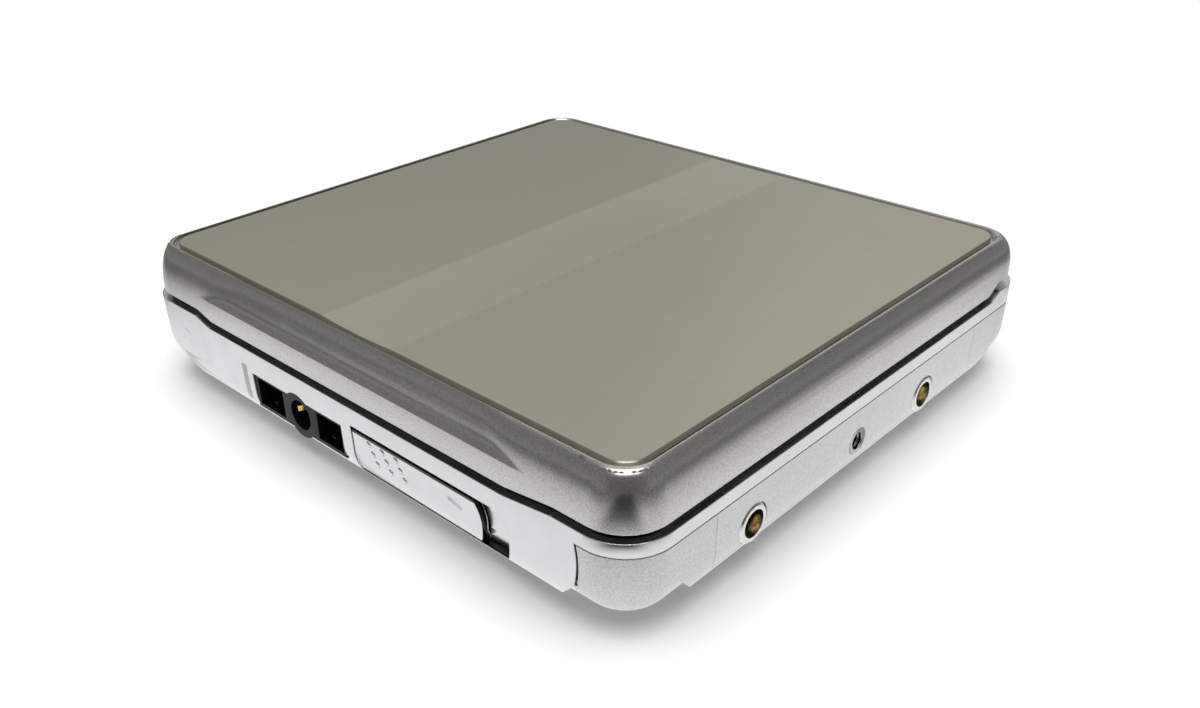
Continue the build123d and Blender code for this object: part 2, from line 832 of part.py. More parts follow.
with BuildPart() as socket_contacts:
    # sprung blade over the bore
    blade_top = jack_z + jack_bore + blade_slot_width / 2 - hair
    blade_low = blade_top - blade_sheet
    blade_front = front + socket_setback + blade_slot_start + 2 * part_gap
    blade_run = blade_slot_length - 4 * part_gap
    with BuildSketch(Plane.YZ.offset(jack_x)):
        with BuildLine():
            Polyline(
                (blade_front, blade_top),
                (blade_front + blade_run, blade_top),
                (blade_front + blade_run, blade_low),
                (blade_front + 3 * blade_width, blade_low),
                (blade_front + 2 * blade_width, jack_z + jack_bore + socket_play),
                (blade_front + blade_width, blade_low),
                (blade_front, blade_low),
                close=True,
            )
        make_face()
    extrude(amount=blade_width / 2, both=True)
    # flat contacts on the floor of each wing
    for start, end in (wing_left, wing_right):
        for step in wing_contact_places:
            x = start + (end - start) * step
            floor = socket_low + wing_wall
            strip = box_between(
                (x - wing_contact / 2, front + socket_setback + 1, floor),
                (x + wing_contact / 2, front + socket_setback + wing_depth, floor + wing_contact_sheet),
            )
            add(strip)
save(socket_contacts.part, "socket_contacts")

# ------------------------------------------------------------------ opening slider, latch plate and spring
face_form = outer_tub - tub(slider_thickness, slider_thickness, corner_lift + slider_thickness)
face_form = Pos(0, slider_setback, 0) * face_form
slider_face = extrude(slider_outline(0, 0), amount=to_front)
latch_front = front + latch_setback
with BuildPart() as open_slider:
    add(face_form & slider_face)
    # stem through the slot to the latch plate
    add(box_between((stem_left, front + stem_root, stem_low), (stem_right, latch_front, stem_high)))
save(open_slider.part, "open_slider")

with BuildPart() as latch_plate:
    # bar that runs behind the whole front, over the socket
    bar_end = catch_x + latch_overhang
    back_face = latch_front + latch_sheet
    add(box_between((-bar_end, latch_front, latch_low), (bar_end, back_face, latch_high)))
    # tab that reaches down to the stem of the slider
    tab_low = stem_low - latch_tab_drop
    add(box_between((stem_left - 1, latch_front, tab_low), (stem_right + 1, back_face, latch_low)))
    # claws over the lid's catches
    for x in (-catch_x, catch_x):
        claw = box_between(
            (x + claw_inner, latch_front, latch_high), (x + claw_outer, back_face, latch_high + claw_height)
        )
        add(claw)
save(latch_plate.part, "latch_plate")

# folded wire that pulls the latch plate back towards the socket
spring_start = socket_right + 2 * hair
spring_end = stem_left - 1 - 2 * hair
with BuildPart() as slider_spring:
    with BuildSketch(Plane.XZ.offset(-latch_front - spring_sheet)):
        fold = (spring_end - spring_start) / spring_folds
        upper = []
        lower = []
        for number in range(spring_folds + 1):
            x = spring_start + number * fold
            swing = 0 if number in (0, spring_folds) else spring_swing * (1 if number % 2 else -1)
            upper.append((x, spring_height + swing + spring_wire))
            lower.append((x, spring_height + swing - spring_wire))
        with BuildLine():
            Polyline(*upper, *reversed(lower), close=True)
        make_face()
    extrude(amount=spring_sheet)
save(slider_spring.part, "slider_spring")

# --------------------------------------------------------------- right side: panel, sleeves, contacts, bush
with BuildPart() as side_panel:
    add((outer_tub - skin_tub) & side_panel_region)
    with BuildSketch(Plane.YZ.offset(right - side_bore_depth)):
        with Locations((terminal_near, terminal_height), (terminal_far, terminal_height)):
            Circle(sleeve_radius + seat_play)
        with Locations((bush_y, bush_height)):
            Circle(bush_radius + seat_play)
    extrude(amount=over, mode=Mode.SUBTRACT)
save(side_panel.part, "side_panel")

with BuildPart() as terminal_sleeves:
    with BuildSketch(Plane.YZ.offset(right - sleeve_length)):
        with Locations((terminal_near, terminal_height), (terminal_far, terminal_height)):
            Circle(sleeve_radius)
            Circle(sleeve_bore, mode=Mode.SUBTRACT)
    extrude(amount=sleeve_length)
    mouths = terminal_sleeves.faces().filter_by(Axis.X).group_by(Axis.X)[-1]
    chamfer([mouth.outer_wire().edges() for mouth in mouths], sleeve_chamfer)
save(terminal_sleeves.part, "terminal_sleeves")

with BuildPart() as terminal_contacts:
    contact_back = right - sleeve_length - 2 * contact_sheet
    for y in (terminal_near, terminal_far):
        plate = box_between(
            (contact_back, y - contact_half, terminal_height - contact_half),
            (contact_back + contact_sheet, y + contact_half, terminal_height + contact_half),
        )
        add(plate)
        add(plain_rod(contact_pin, contact_back, right - sleeve_length - part_gap, y, terminal_height, 12))
    tips = terminal_contacts.faces().filter_by(Axis.X).group_by(Axis.X)[-1]
    chamfer(tips.edges(), contact_tip)
save(terminal_contacts.part, "terminal_contacts")

with BuildPart() as fixing_bush:
    with BuildSketch(Plane.YZ.offset(right - part_gap - bush_length)):
        with Locations((bush_y, bush_height)):
            Circle(bush_radius)
            Circle(bush_bore, mode=Mode.SUBTRACT)
    extrude(amount=bush_length)
save(fixing_bush.part, "fixing_bush")

# ------------------------------------------------------------------ left side: keys, switches, hold switch
key_board_x = left + wall + key_board_depth
flange_x = left + wall + key_flange_gap
switch_top = flange_x + key_flange + key_travel + 2 * hair


def side_key(y):
    """One operating key: a rounded cap through the wall with a wider flange inside."""
    with BuildPart() as key:
        with BuildSketch(Plane.YZ.offset(left)) as cap:
            with Locations((y, key_z)):
                Rectangle(key_length, key_height)
            chamfer(cap.vertices(), key_corner)
        extrude(amount=wall + key_flange)
        outside = key.faces().sort_by(Axis.X)[0]
        chamfer(outside.edges(), key_chamfer)
        with BuildSketch(Plane.YZ.offset(flange_x)):
            with Locations((y, key_z)):
                Rectangle(key_length + 2 * key_flange_margin, key_height + 2 * key_flange_margin)
        extrude(amount=key_flange)
    return key.part


for name, y in zip(("stop_key", "play_key", "skip_key"), key_centres):
    save(side_key(y), name)

with BuildPart() as key_board:
    near = key_centres[0] - key_length / 2 - key_board_margin
    far = hold_y + hold_switch_room
    far_x = key_board_x + key_board_sheet
    add(box_between((key_board_x, near, key_board_low), (far_x, far, key_board_high)))
save(key_board.part, "key_board")

with BuildPart() as key_switches:
    body_x = switch_top + switch_button_height
    for y in key_centres:
        body_low = (body_x, y - switch_half, key_z - switch_half)
        add(box_between(body_low, (key_board_x, y + switch_half, key_z + switch_half)))
        button_low = (switch_top, y - switch_button, key_z - switch_button)
        add(box_between(button_low, (body_x, y + switch_button, key_z + switch_button)))
    hold_mid = hold_y + hold_travel / 2
    hold_low = (body_x + key_flange, hold_mid - hold_switch_half, key_z - switch_half)
    add(box_between(hold_low, (key_board_x, hold_mid + hold_switch_half, key_z + switch_half)))
save(key_switches.part, "key_switches")

with BuildPart() as hold_switch:
    grip = hold_length / 2 - hold_flange
    slide_x = left + wall + part_gap
    grip_low = (left + part_gap / 2, hold_y - grip, key_z - hold_grip_half)
    add(box_between(grip_low, (slide_x + part_gap, hold_y + grip, key_z + hold_grip_half)))
    slide_low = (slide_x, hold_y - hold_length / 2, key_z - hold_slide_half)
    slide_high = (slide_x + hold_flange, hold_y + hold_length / 2, key_z + hold_slide_half)
    add(box_between(slide_low, slide_high))
    for step in (-hold_groove_pitch, 0, hold_groove_pitch):
        middle = hold_y + step
        groove_low = (left - 1, middle - hold_groove / 2, key_z - 1)
        groove_high = (left + hold_groove, middle + hold_groove / 2, key_z + 1)
        add(box_between(groove_low, groove_high), mode=Mode.SUBTRACT)
save(hold_switch.part, "hold_switch")

# ------------------------------------------------------------------ battery, its contacts and its door
battery_right = battery_left + battery_length
battery_y = battery_front + battery_width / 2
battery_middle = battery_floor + battery_height / 2
with BuildPart() as battery:
    with BuildSketch(Plane.YZ.offset(battery_left)):
        with Locations((battery_y, battery_middle)):
            body = Rectangle(battery_width, battery_height)
        chamfer(body.vertices(), battery_corner)
    extrude(amount=battery_length - battery_button)
    # button at its end
    with BuildSketch(Plane.YZ.offset(battery_left)):
        with Locations((battery_y, battery_middle)):
            Rectangle(battery_width / 2, battery_height / 2)
    extrude(amount=battery_length)
save(battery.part, "battery")

with BuildPart() as battery_contacts:
    plate_x = stop_left - contact_leaf
    leaf_root = battery_middle - leaf_half
    leaf_head = battery_middle + leaf_half
    for y in (battery_y - leaf_pitch / 2, battery_y + leaf_pitch / 2):
        plate_low = (plate_x, y - leaf_plate_half, leaf_root - contact_leaf)
        add(box_between(plate_low, (stop_left, y + leaf_plate_half, leaf_head + contact_leaf)))
        # bent leaf that presses on the battery's end
        with BuildSketch(Plane.XZ.offset(-y - leaf_width / 2)):
            with BuildLine():
                Polyline(
                    (plate_x, leaf_root),
                    (battery_right + part_gap, battery_middle),
                    (plate_x, leaf_head),
                    (plate_x, leaf_head - contact_leaf),
                    (battery_right + part_gap + contact_leaf, battery_middle),
                    (plate_x, leaf_root + contact_leaf),
                    close=True,
                )
            make_face()
        extrude(amount=leaf_width)
save(battery_contacts.part, "battery_contacts")

door_block = box_between(
    (left - 1, door_front + door_swing_gap, door_low + door_play),
    (left + door_reach, door_back - door_play, door_high - door_play),
)
with BuildPart() as battery_door:
    add(tub_walls & door_block)
    add(post(door_hinge_radius, barrel_low, barrel_high, door_hinge_x, door_hinge_y))
    link = box_between(
        (door_hinge_x - door_link / 3, door_hinge_y, barrel_low),
        (door_hinge_x + door_link, door_front + door_swing_gap + door_link, barrel_high),
    )
    add(link)
    pin_hole = post(
        door_pin_radius + running_clearance, barrel_low - 1, barrel_high + 1, door_hinge_x, door_hinge_y
    )
    add(pin_hole, mode=Mode.SUBTRACT)
save(battery_door.part, "battery_door")

with BuildPart() as door_pin:
    add(post(door_pin_radius, door_pin_low, door_pin_high, door_hinge_x, door_hinge_y))
save(door_pin.part, "door_pin")

# ------------------------------------------------------------------ lid hinge pins
with BuildPart() as hinge_pins:
    for middle in (-hinge_offset, hinge_offset):
        add(rod_along_x(hinge_pin_radius, middle - hinge_span, middle + hinge_span, hinge_y, hinge_z))
save(hinge_pins.part, "hinge_pins")

# ------------------------------------------------------------------ lid shell
lid_base = rim_top - dip + seam_gap
lid_face = lid_depth / 2
lid_half = lid_width / 2
below_lid = [front_block(seam_gap, 0), rear_block(seam_gap, rear_gap, 0)]


def lid_ring(outer_inset, inner_inset, bottom, top):
    """A ring that follows the lid's outline between two insets from its outer face."""
    with BuildPart() as ring:
        with BuildSketch(Plane.XY.offset(bottom)):
            for inset, mode in ((outer_inset, Mode.ADD), (inner_inset, Mode.SUBTRACT)):
                RectangleRounded(lid_width - 2 * inset, lid_depth - 2 * inset, lid_corner - inset, mode=mode)
        extrude(amount=top - bottom)
    return ring.part


frame_top = lid_edge + frame_height - seam_gap
frame_back = back - rear_step - rear_step_run - frame_end_gap
ring_outer = frame_inset - frame_play
ring_inner = frame_inset + frame_thickness + frame_play
ring_seat = lid_ring(ring_outer, ring_inner, lid_base - 1, frame_top + frame_play)
with BuildPart() as seat_keep:
    with BuildSketch(Plane.XY):
        with Locations((0, (front + frame_back) / 2)):
            Rectangle(case_width, frame_back - front + part_gap)
    extrude(amount=case_height)
ring_seat = ring_seat & seat_keep.part

# finger flute: a cove along the front whose ends run out to points
with BuildPart() as flute:
    with BuildSketch(Plane.YZ):
        with BuildLine():
            cove_start = (-lid_face, flute_floor)
            cove_end = (-lid_face + flute_depth, flute_floor + flute_rise)
            SagittaArc(cove_start, cove_end, flute_hollow)
            Polyline(
                cove_end,
                (-lid_face + flute_depth, case_height + 1),
                (-lid_face - 1, case_height + 1),
                (-lid_face - 1, flute_floor),
                cove_start,
            )
        make_face()
    extrude(amount=flute_half, both=True)
    with BuildSketch(Plane.XY):
        with BuildLine():
            inner = flute_half - flute_run_out
            Polyline(
                (flute_half + 1, -lid_face - 2),
                (flute_half + 1, -lid_face),
                (flute_half, -lid_face),
            )
            SagittaArc((flute_half, -lid_face), (inner, -lid_face + flute_depth), -flute_sweep)
            Line((inner, -lid_face + flute_depth), (-inner, -lid_face + flute_depth))
            SagittaArc((-inner, -lid_face + flute_depth), (-flute_half, -lid_face), -flute_sweep)
            Polyline(
                (-flute_half, -lid_face),
                (-flute_half - 1, -lid_face),
                (-flute_half - 1, -lid_face - 2),
                (flute_half + 1, -lid_face - 2),
            )
        make_face()
    extrude(amount=case_height + 2, mode=Mode.INTERSECT)

cavity_front = -lid_face + lid_front_wall
cavity_back = lid_face - lid_wall
cavity_top = seat_floor - lid_roof
plate_width = lid_width - 2 * plate_margin
plate_depth = lid_depth - 2 * plate_margin
catch_y = cavity_front - catch_inset

with BuildPart() as lid_shell:
    with BuildSketch(Plane.XY.offset(lid_base)):
        RectangleRounded(lid_width, lid_depth, lid_corner)
    extrude(amount=case_height - lid_base)
    # rounded top edge, an elliptical section swept round the outline
    with BuildLine() as rim_path:
        z = case_height - edge_drop
        x = lid_half - lid_corner
        y = lid_face - lid_corner
        turn_1 = (x, -lid_face, z)
        Line((0, -lid_face, z), turn_1)
        arc_1 = JernArc(turn_1, (1, 0, 0), lid_corner, 90)
        run_2 = Line(arc_1 @ 1, (lid_half, y, z))
        arc_2 = JernArc(run_2 @ 1, (0, 1, 0), lid_corner, 90)
        run_3 = Line(arc_2 @ 1, (-x, lid_face, z))
        arc_3 = JernArc(run_3 @ 1, (-1, 0, 0), lid_corner, 90)
        run_4 = Line(arc_3 @ 1, (-lid_half, -y, z))
        arc_4 = JernArc(run_4 @ 1, (0, -1, 0), lid_corner, 90)
        Line(arc_4 @ 1, (0, -lid_face, z))
    edge_plane = Plane(origin=(0, -lid_face, case_height - edge_drop), x_dir=(0, 1, 0), z_dir=(1, 0, 0))
    with BuildSketch(edge_plane):
        with BuildLine():
            EllipticalCenterArc((edge_round, 0), edge_round, edge_drop, 90, arc_size=90)
            above = edge_drop + 1
            Polyline((0, 0), (-1, 0), (-1, above), (edge_round, above), (edge_round, edge_drop))
        make_face()
    sweep(path=rim_path.wires()[0], mode=Mode.SUBTRACT)
    add(flute.part, mode=Mode.SUBTRACT)
    # seat of the top plate with the groove round it
    with BuildSketch(Plane.XY.offset(seat_floor)):
        seat_width = plate_width + 2 * plate_groove
        seat_depth = plate_depth + 2 * plate_groove
        RectangleRounded(seat_width, seat_depth, plate_corner + plate_groove)
    extrude(amount=over, mode=Mode.SUBTRACT)
    # hollow underneath
    with BuildSketch(Plane.XY.offset(lid_base - 1)):
        with Locations((0, (cavity_front + cavity_back) / 2)):
            RectangleRounded(lid_width - 2 * lid_wall, cavity_back - cavity_front, lid_corner - lid_wall)
    extrude(amount=cavity_top - lid_base + 1, mode=Mode.SUBTRACT)
    for cutter in below_lid:
        add(cutter, mode=Mode.SUBTRACT)
    add(ring_seat, mode=Mode.SUBTRACT)
    # knuckles on the back edge, with room round the case's knuckles
    for middle in (-hinge_offset, hinge_offset):
        for start in (middle - hinge_span - end_clearance, middle + knuckle_ends - end_clearance):
            end = start + hinge_case_length + 2 * end_clearance
            room = rod_along_x(hinge_barrel + barrel_clearance, start, end, hinge_y, hinge_z)
            add(room, mode=Mode.SUBTRACT)
        half = hinge_lid_length / 2
        add(rod_along_x(hinge_barrel, middle - half, middle + half, hinge_y, hinge_z))
        web_far = (middle + half, lid_face, lid_edge + hinge_web)
        add(box_between((middle - half, lid_face - lid_wall, hinge_z), web_far))
        bore_radius = hinge_pin_radius + running_clearance
        bore = plain_rod(bore_radius, middle - half, middle + half, hinge_y, hinge_z)
        add(bore, mode=Mode.SUBTRACT)
    # slots in the front wall for the two catches
    for x in (-catch_x, catch_x):
        slot_half = catch_width / 2 + seat_play
        slot_far = (x + slot_half, cavity_front + 1, catch_top + part_gap)
        add(box_between((x - slot_half, catch_y - seat_play, 0), slot_far), mode=Mode.SUBTRACT)
save(lid_shell.part, "lid_shell")

# ------------------------------------------------------------------ top plate
with BuildPart() as top_plate:
    with BuildSketch(Plane.XY.offset(case_height - plate_thickness)):
        RectangleRounded(plate_width, plate_depth, plate_corner)
    extrude(amount=plate_thickness)
    upper = top_plate.faces().sort_by(Axis.Z)[-1]
    chamfer(upper.edges(), plate_chamfer)
    # shallow channel from front to back
    with BuildSketch(Plane.XZ):
        with BuildLine():
            half = channel_width / 2
            above = case_height + 1
            SagittaArc((-half, case_height), (half, case_height), -channel_depth)
            Polyline((half, case_height), (half, above), (-half, above), (-half, case_height))
        make_face()
    extrude(amount=case_depth, both=True, mode=Mode.SUBTRACT)
save(top_plate.part, "top_plate")

# ------------------------------------------------------------------ dark inner frame of the lid
frame_lift = part_gap + frame_play
frame_low = [front_block(frame_lift, 0), rear_block(frame_lift, frame_lift, 0)]
frame_ring = lid_ring(frame_inset, frame_inset + frame_thickness, lid_base - 1, frame_top) & seat_keep.part
with BuildPart() as lid_frame:
    add(frame_ring)
    for cutter in frame_low:
        add(cutter, mode=Mode.SUBTRACT)
    trim = box_between((-case_width, frame_back - part_gap, 0), (case_width, back, case_height))
    add(trim, mode=Mode.SUBTRACT)
save(lid_frame.part, "lid_frame")

# ------------------------------------------------------------------ catches that hang from the lid
with BuildPart() as lid_catches:
    catch_low = latch_low - catch_drop
    slot_low = catch_low + catch_slot_low
    for x in (-catch_x, catch_x):
        catch_far = (x + catch_width / 2, cavity_front, catch_top)
        add(box_between((x - catch_width / 2, catch_y, catch_low), catch_far))
        slot_far = (x + catch_slot_half, cavity_front + 1, slot_low + catch_slot_height)
        add(box_between((x - catch_slot_half, catch_y - 1, slot_low), slot_far), mode=Mode.SUBTRACT)
save(lid_catches.part, "lid_catches")

# ------------------------------------------------------------------ disc holder on its two pivots
holder_inner = disc_width / 2 + holder_play
holder_outer = holder_inner + holder_sheet
holder_low = disc_floor - holder_sheet
holder_high = disc_floor + disc_height + 2 * holder_play
pivot_y = back - holder_pivot_y
bracket_x = holder_outer + bracket_gap
tray_front = front + disc_front + holder_setback
tray_back = front + disc_front + disc_depth + holder_play + holder_sheet
with BuildPart() as disc_holder:
    with BuildSketch(Plane.XZ.offset(-tray_back)):
        with Locations((0, (holder_low + holder_high + holder_sheet) / 2)):
            Rectangle(2 * holder_outer, holder_high + holder_sheet - holder_low)
        with Locations((0, (holder_low + holder_sheet + holder_high) / 2)):
            Rectangle(2 * holder_inner, holder_high - holder_low - holder_sheet, mode=Mode.SUBTRACT)
        with Locations((0, holder_low + holder_sheet / 2)):
            Rectangle(2 * (holder_inner - holder_lip), holder_sheet + 2 * hair, mode=Mode.SUBTRACT)
    extrude(amount=tray_back - tray_front)
    # back wall, between the two hinges
    wall_half = hinge_offset - hinge_span - holder_wall_gap
    wall_low = disc_floor + holder_wall_lift
    add(box_between((-wall_half, tray_back - holder_sheet, wall_low), (wall_half, tray_back, holder_high)))
    # lower rear corners are open so that the holder can tip back
    ear_low = holder_pivot_z - holder_ear
    open_far = (right, tray_back - holder_sheet - hair, ear_low)
    add(box_between((-right, pivot_y - holder_opening, 0), open_far), mode=Mode.SUBTRACT)
    for sign in (-1, 1):
        near_x, far_x = sorted((sign * (wall_half + part_gap), sign * right))
        corner_low = (near_x, tray_back - holder_opening, 0)
        add(box_between(corner_low, (far_x, tray_back + 1, ear_low)), mode=Mode.SUBTRACT)
    # finger cut-out at the front edge and a window in the roof
    with BuildSketch(Plane.XY.offset(holder_high - part_gap)):
        with Locations((0, tray_front)):
            notch = Rectangle(holder_notch_width, holder_notch_depth)
        chamfer(notch.vertices(), holder_notch_corner)
        with Locations((0, disc_y + holder_window_back)):
            window = Rectangle(holder_window_width, holder_window_depth)
        chamfer(window.vertices(), holder_window_corner)
    extrude(amount=1, mode=Mode.SUBTRACT)
    # pivot holes
    bore = rod_along_x(holder_pin_radius + running_clearance, -right, right, pivot_y, holder_pivot_z)
    add(bore, mode=Mode.SUBTRACT)
save(disc_holder.part, "disc_holder")

with BuildPart() as pivot_pins:
    for sign in (-1, 1):
        ends = sorted((sign * (holder_inner + 2 * hair), sign * (bracket_x + bracket_sheet)))
        add(rod_along_x(holder_pin_radius, *ends, pivot_y, holder_pivot_z))
save(pivot_pins.part, "pivot_pins")

with BuildPart() as pivot_brackets:
    post_x, post_y = corner_posts[3]
    near_y = pivot_y - bracket_front
    far_y = pivot_y + bracket_rear
    foot_top = deck_floor + bracket_sheet
    for sign in (-1, 1):
        low_x, high_x = sorted((sign * bracket_x, sign * (bracket_x + bracket_sheet)))
        add(box_between((low_x, near_y, deck_floor), (high_x, far_y, holder_pivot_z + bracket_top)))
        foot = sorted((sign * (post_x - bracket_foot_half), sign * (post_x + bracket_foot_half)))
        add(box_between((foot[0], near_y, deck_floor), (foot[1], post_y + bracket_foot_rear, foot_top)))
        strap = sorted((sign * post_x, sign * (bracket_x + bracket_sheet)))
        add(box_between((strap[0], near_y, deck_floor), (strap[1], far_y, foot_top)))
        hole = plain_post(screw_bore, deck_floor - 1, deck_top + 1, sign * post_x, post_y)
        add(hole, mode=Mode.SUBTRACT)
    bore = plain_rod(holder_pin_radius, -right, right, pivot_y, holder_pivot_z)
    add(bore, mode=Mode.SUBTRACT)
save(pivot_brackets.part, "pivot_brackets")

# ------------------------------------------------------------------ circuit board in the bottom
board_back = battery_front - bay_play - bay_rib - part_gap
with BuildPart() as main_board:
    with BuildSketch(Plane.XY.offset(board_floor)):
        with Locations((0, (board_back + damper_y[0]) / 2)):
            Rectangle(2 * board_half, board_back - damper_y[0])
        with Locations((0, damper_y[0] - board_tongue / 2)):
            Rectangle(2 * board_tongue_half, board_tongue + 2 * part_gap)
        with Locations(spindle_damper):
            RegularPolygon(boss_radius + board_play, 8, False, 22.5, mode=Mode.SUBTRACT)
    extrude(amount=board_sheet)
save(main_board.part, "main_board")

with BuildPart() as board_chips:
    low = board_floor + board_sheet
    for width, depth, x, y in chip_sizes:
        chip_far = (x + width / 2, y + depth / 2, low + chip_height)
        add(box_between((x - width / 2, y - depth / 2, low), chip_far))
save(board_chips.part, "board_chips")

# ------------------------------------------------------------------ deck with its soft mounts
screw_y = disc_y - screw_offset
rod_rear = disc_y + rod_rear_offset
rod_front = disc_y - rod_front_offset
with BuildPart() as deck:
    with BuildSketch(Plane.XY.offset(deck_floor)):
        with Locations(((deck_left + deck_right) / 2, (deck_front + deck_back) / 2)):
            Rectangle(deck_right - deck_left, deck_back - deck_front)
        with Locations((0, disc_y)):
            Circle(deck_bore, mode=Mode.SUBTRACT)
        # window that the pickup looks through
        window_left = lens_inner - pickup_half - window_margin
        window_right = lens_inner + pickup_travel + pickup_half + window_margin
        with Locations(((window_left + window_right) / 2, disc_y)):
            Rectangle(window_right - window_left, 2 * window_half, mode=Mode.SUBTRACT)
        # slot over the large gear
        with Locations((gear_x, screw_y)):
            Rectangle(gear_slot_width, gear_slot_length, mode=Mode.SUBTRACT)
        with Locations(*damper_points):
            RegularPolygon(damper_neck + seat_play, 6, False, 30, mode=Mode.SUBTRACT)
        with Locations(*deck_hole_places):
            Rectangle(deck_hole_width, deck_hole_depth, mode=Mode.SUBTRACT)
    extrude(amount=deck_sheet)
    upright = deck.edges().filter_by(Axis.Z)
    outer = [edge for edge in upright if edge.center().X in (deck_left, deck_right)]
    chamfer(outer, deck_corner)
save(deck.part, "deck")

with BuildPart() as deck_dampers:
    for x, y in damper_points:
        add(plain_post(damper_flange, deck_floor - damper_foot, deck_floor, x, y, 6))
        add(plain_post(damper_neck, deck_floor, deck_top, x, y, 6))
        add(plain_post(damper_flange, deck_top, deck_top + damper_cap, x, y, 6))
        add(plain_post(screw_bore, 0, deck_top + 1, x, y), mode=Mode.SUBTRACT)
save(deck_dampers.part, "deck_dampers")

with BuildPart() as deck_screws:
    for x, y in damper_points:
        add(plain_post(screw_shank, deck_floor - screw_reach, deck_top + damper_cap, x, y))
        head_low = deck_top + damper_cap
        add(plain_post(deck_screw_head, head_low, head_low + head_sheet, x, y))
save(deck_screws.part, "deck_screws")

# ------------------------------------------------------------------ spindle motor, rotor and turntable
rotor_radius = spindle_radius - rotor_step
stator_top = spindle_floor + stator_height
rotor_top = stator_top + rotor_height
with BuildPart() as spindle_motor:
    ear_places = []
    for turn in motor_posts:
        place = Vector(spindle_radius + motor_ear_reach, 0).rotate(Axis.Z, turn)
        ear_places.append((place.X, place.Y + disc_y))
    with BuildSketch(Plane.XY.offset(spindle_floor)):
        with Locations((0, disc_y)):
            Circle(spindle_radius)
        with Locations(*ear_places):
            RegularPolygon(motor_ear, 8)
    extrude(amount=motor_sheet)
    for x, y in ear_places:
        add(plain_post(motor_post, spindle_floor + motor_sheet / 2, deck_floor, x, y))
    add(plain_post(stator_radius, spindle_floor + motor_sheet, stator_top, 0, disc_y, 9))
    bore = plain_post(shaft_radius + running_clearance, 0, case_height, 0, disc_y)
    add(bore, mode=Mode.SUBTRACT)
save(spindle_motor.part, "spindle_motor")

with BuildPart() as spindle_rotor:
    add(post(rotor_radius, stator_top + rotor_gap, rotor_top, 0, disc_y))
    cup = plain_post(rotor_radius - rotor_wall, stator_top, rotor_top - rotor_roof, 0, disc_y, 16)
    add(cup, mode=Mode.SUBTRACT)
    add(post(shaft_radius, spindle_floor + part_gap, turntable_top - shaft_sink, 0, disc_y))
save(spindle_rotor.part, "spindle_rotor")

with BuildPart() as turntable:
    table_low = deck_top + table_lift
    table_step = table_low + table_sheet
    with BuildSketch(Plane.XY.offset(table_low)):
        with Locations((0, disc_y)):
            Circle(table_radius)
    extrude(amount=table_sheet)
    # raised rim in three parts
    with BuildSketch(Plane.XY.offset(table_step)):
        with Locations((0, disc_y)):
            Circle(table_radius - table_rim_inset)
            Circle(table_radius - table_rim_inset - table_rim, mode=Mode.SUBTRACT)
            with PolarLocations(table_radius - table_rim_inset - table_rim / 2, 3):
                Rectangle(table_rim_gap, 1, mode=Mode.SUBTRACT)
    extrude(amount=table_rim_height)
    # centring hub
    with BuildSketch(Plane.XY.offset(table_step)):
        with Locations((0, disc_y)):
            Circle(hub_radius)
    extrude(amount=turntable_top - table_step, taper=hub_taper)
    add(plain_post(shaft_radius, 0, case_height, 0, disc_y), mode=Mode.SUBTRACT)
save(turntable.part, "turntable")

with BuildPart() as clamp_magnet:
    with BuildSketch(Plane.XY.offset(table_step)):
        with Locations((0, disc_y)):
            Circle(table_radius - table_rim_inset - table_rim - part_gap)
            Circle(hub_radius + part_gap, mode=Mode.SUBTRACT)
    extrude(amount=magnet_sheet)
save(clamp_magnet.part, "clamp_magnet")

# ------------------------------------------------------------------ guide rods and what carries them
with BuildPart() as guide_rods:
    for y in (rod_rear, rod_front):
        add(rod_along_x(rod_radius, rod_left, rod_right, y, rod_height))
save(guide_rods.part, "guide_rods")

with BuildPart() as rod_cradles:
    # each is open on the outer side of its rod
    cradle_low = rod_height - cradle_drop
    for start, end in ((rod_left, rod_left + cradle_left), (rod_right - cradle_right, rod_right)):
        rear_far = (end, rod_rear + cradle_outer, deck_floor)
        add(box_between((start, rod_rear - cradle_inner, cradle_low), rear_far))
        front_far = (end, rod_front + cradle_inner, deck_floor)
        add(box_between((start, rod_front - cradle_outer, cradle_low), front_far))
    for y in (rod_rear, rod_front):
        add(plain_rod(rod_radius, rod_left - 1, rod_right + 1, y, rod_height), mode=Mode.SUBTRACT)
    # bearings of the lead screw
    for start in (gear_x + gear_width + bearing_gap, rod_right - bearing_length):
        bearing_low = (start, screw_y - bearing_half, screw_height - bearing_drop)
        add(box_between(bearing_low, (start + bearing_length, screw_y + bearing_half, deck_floor)))
    bore = plain_rod(screw_radius + running_clearance, gear_x, 0, screw_y, screw_height)
    add(bore, mode=Mode.SUBTRACT)
    journal_hole = plain_rod(journal_radius + running_clearance, 0, right, screw_y, screw_height)
    add(journal_hole, mode=Mode.SUBTRACT)
save(rod_cradles.part, "rod_cradles")

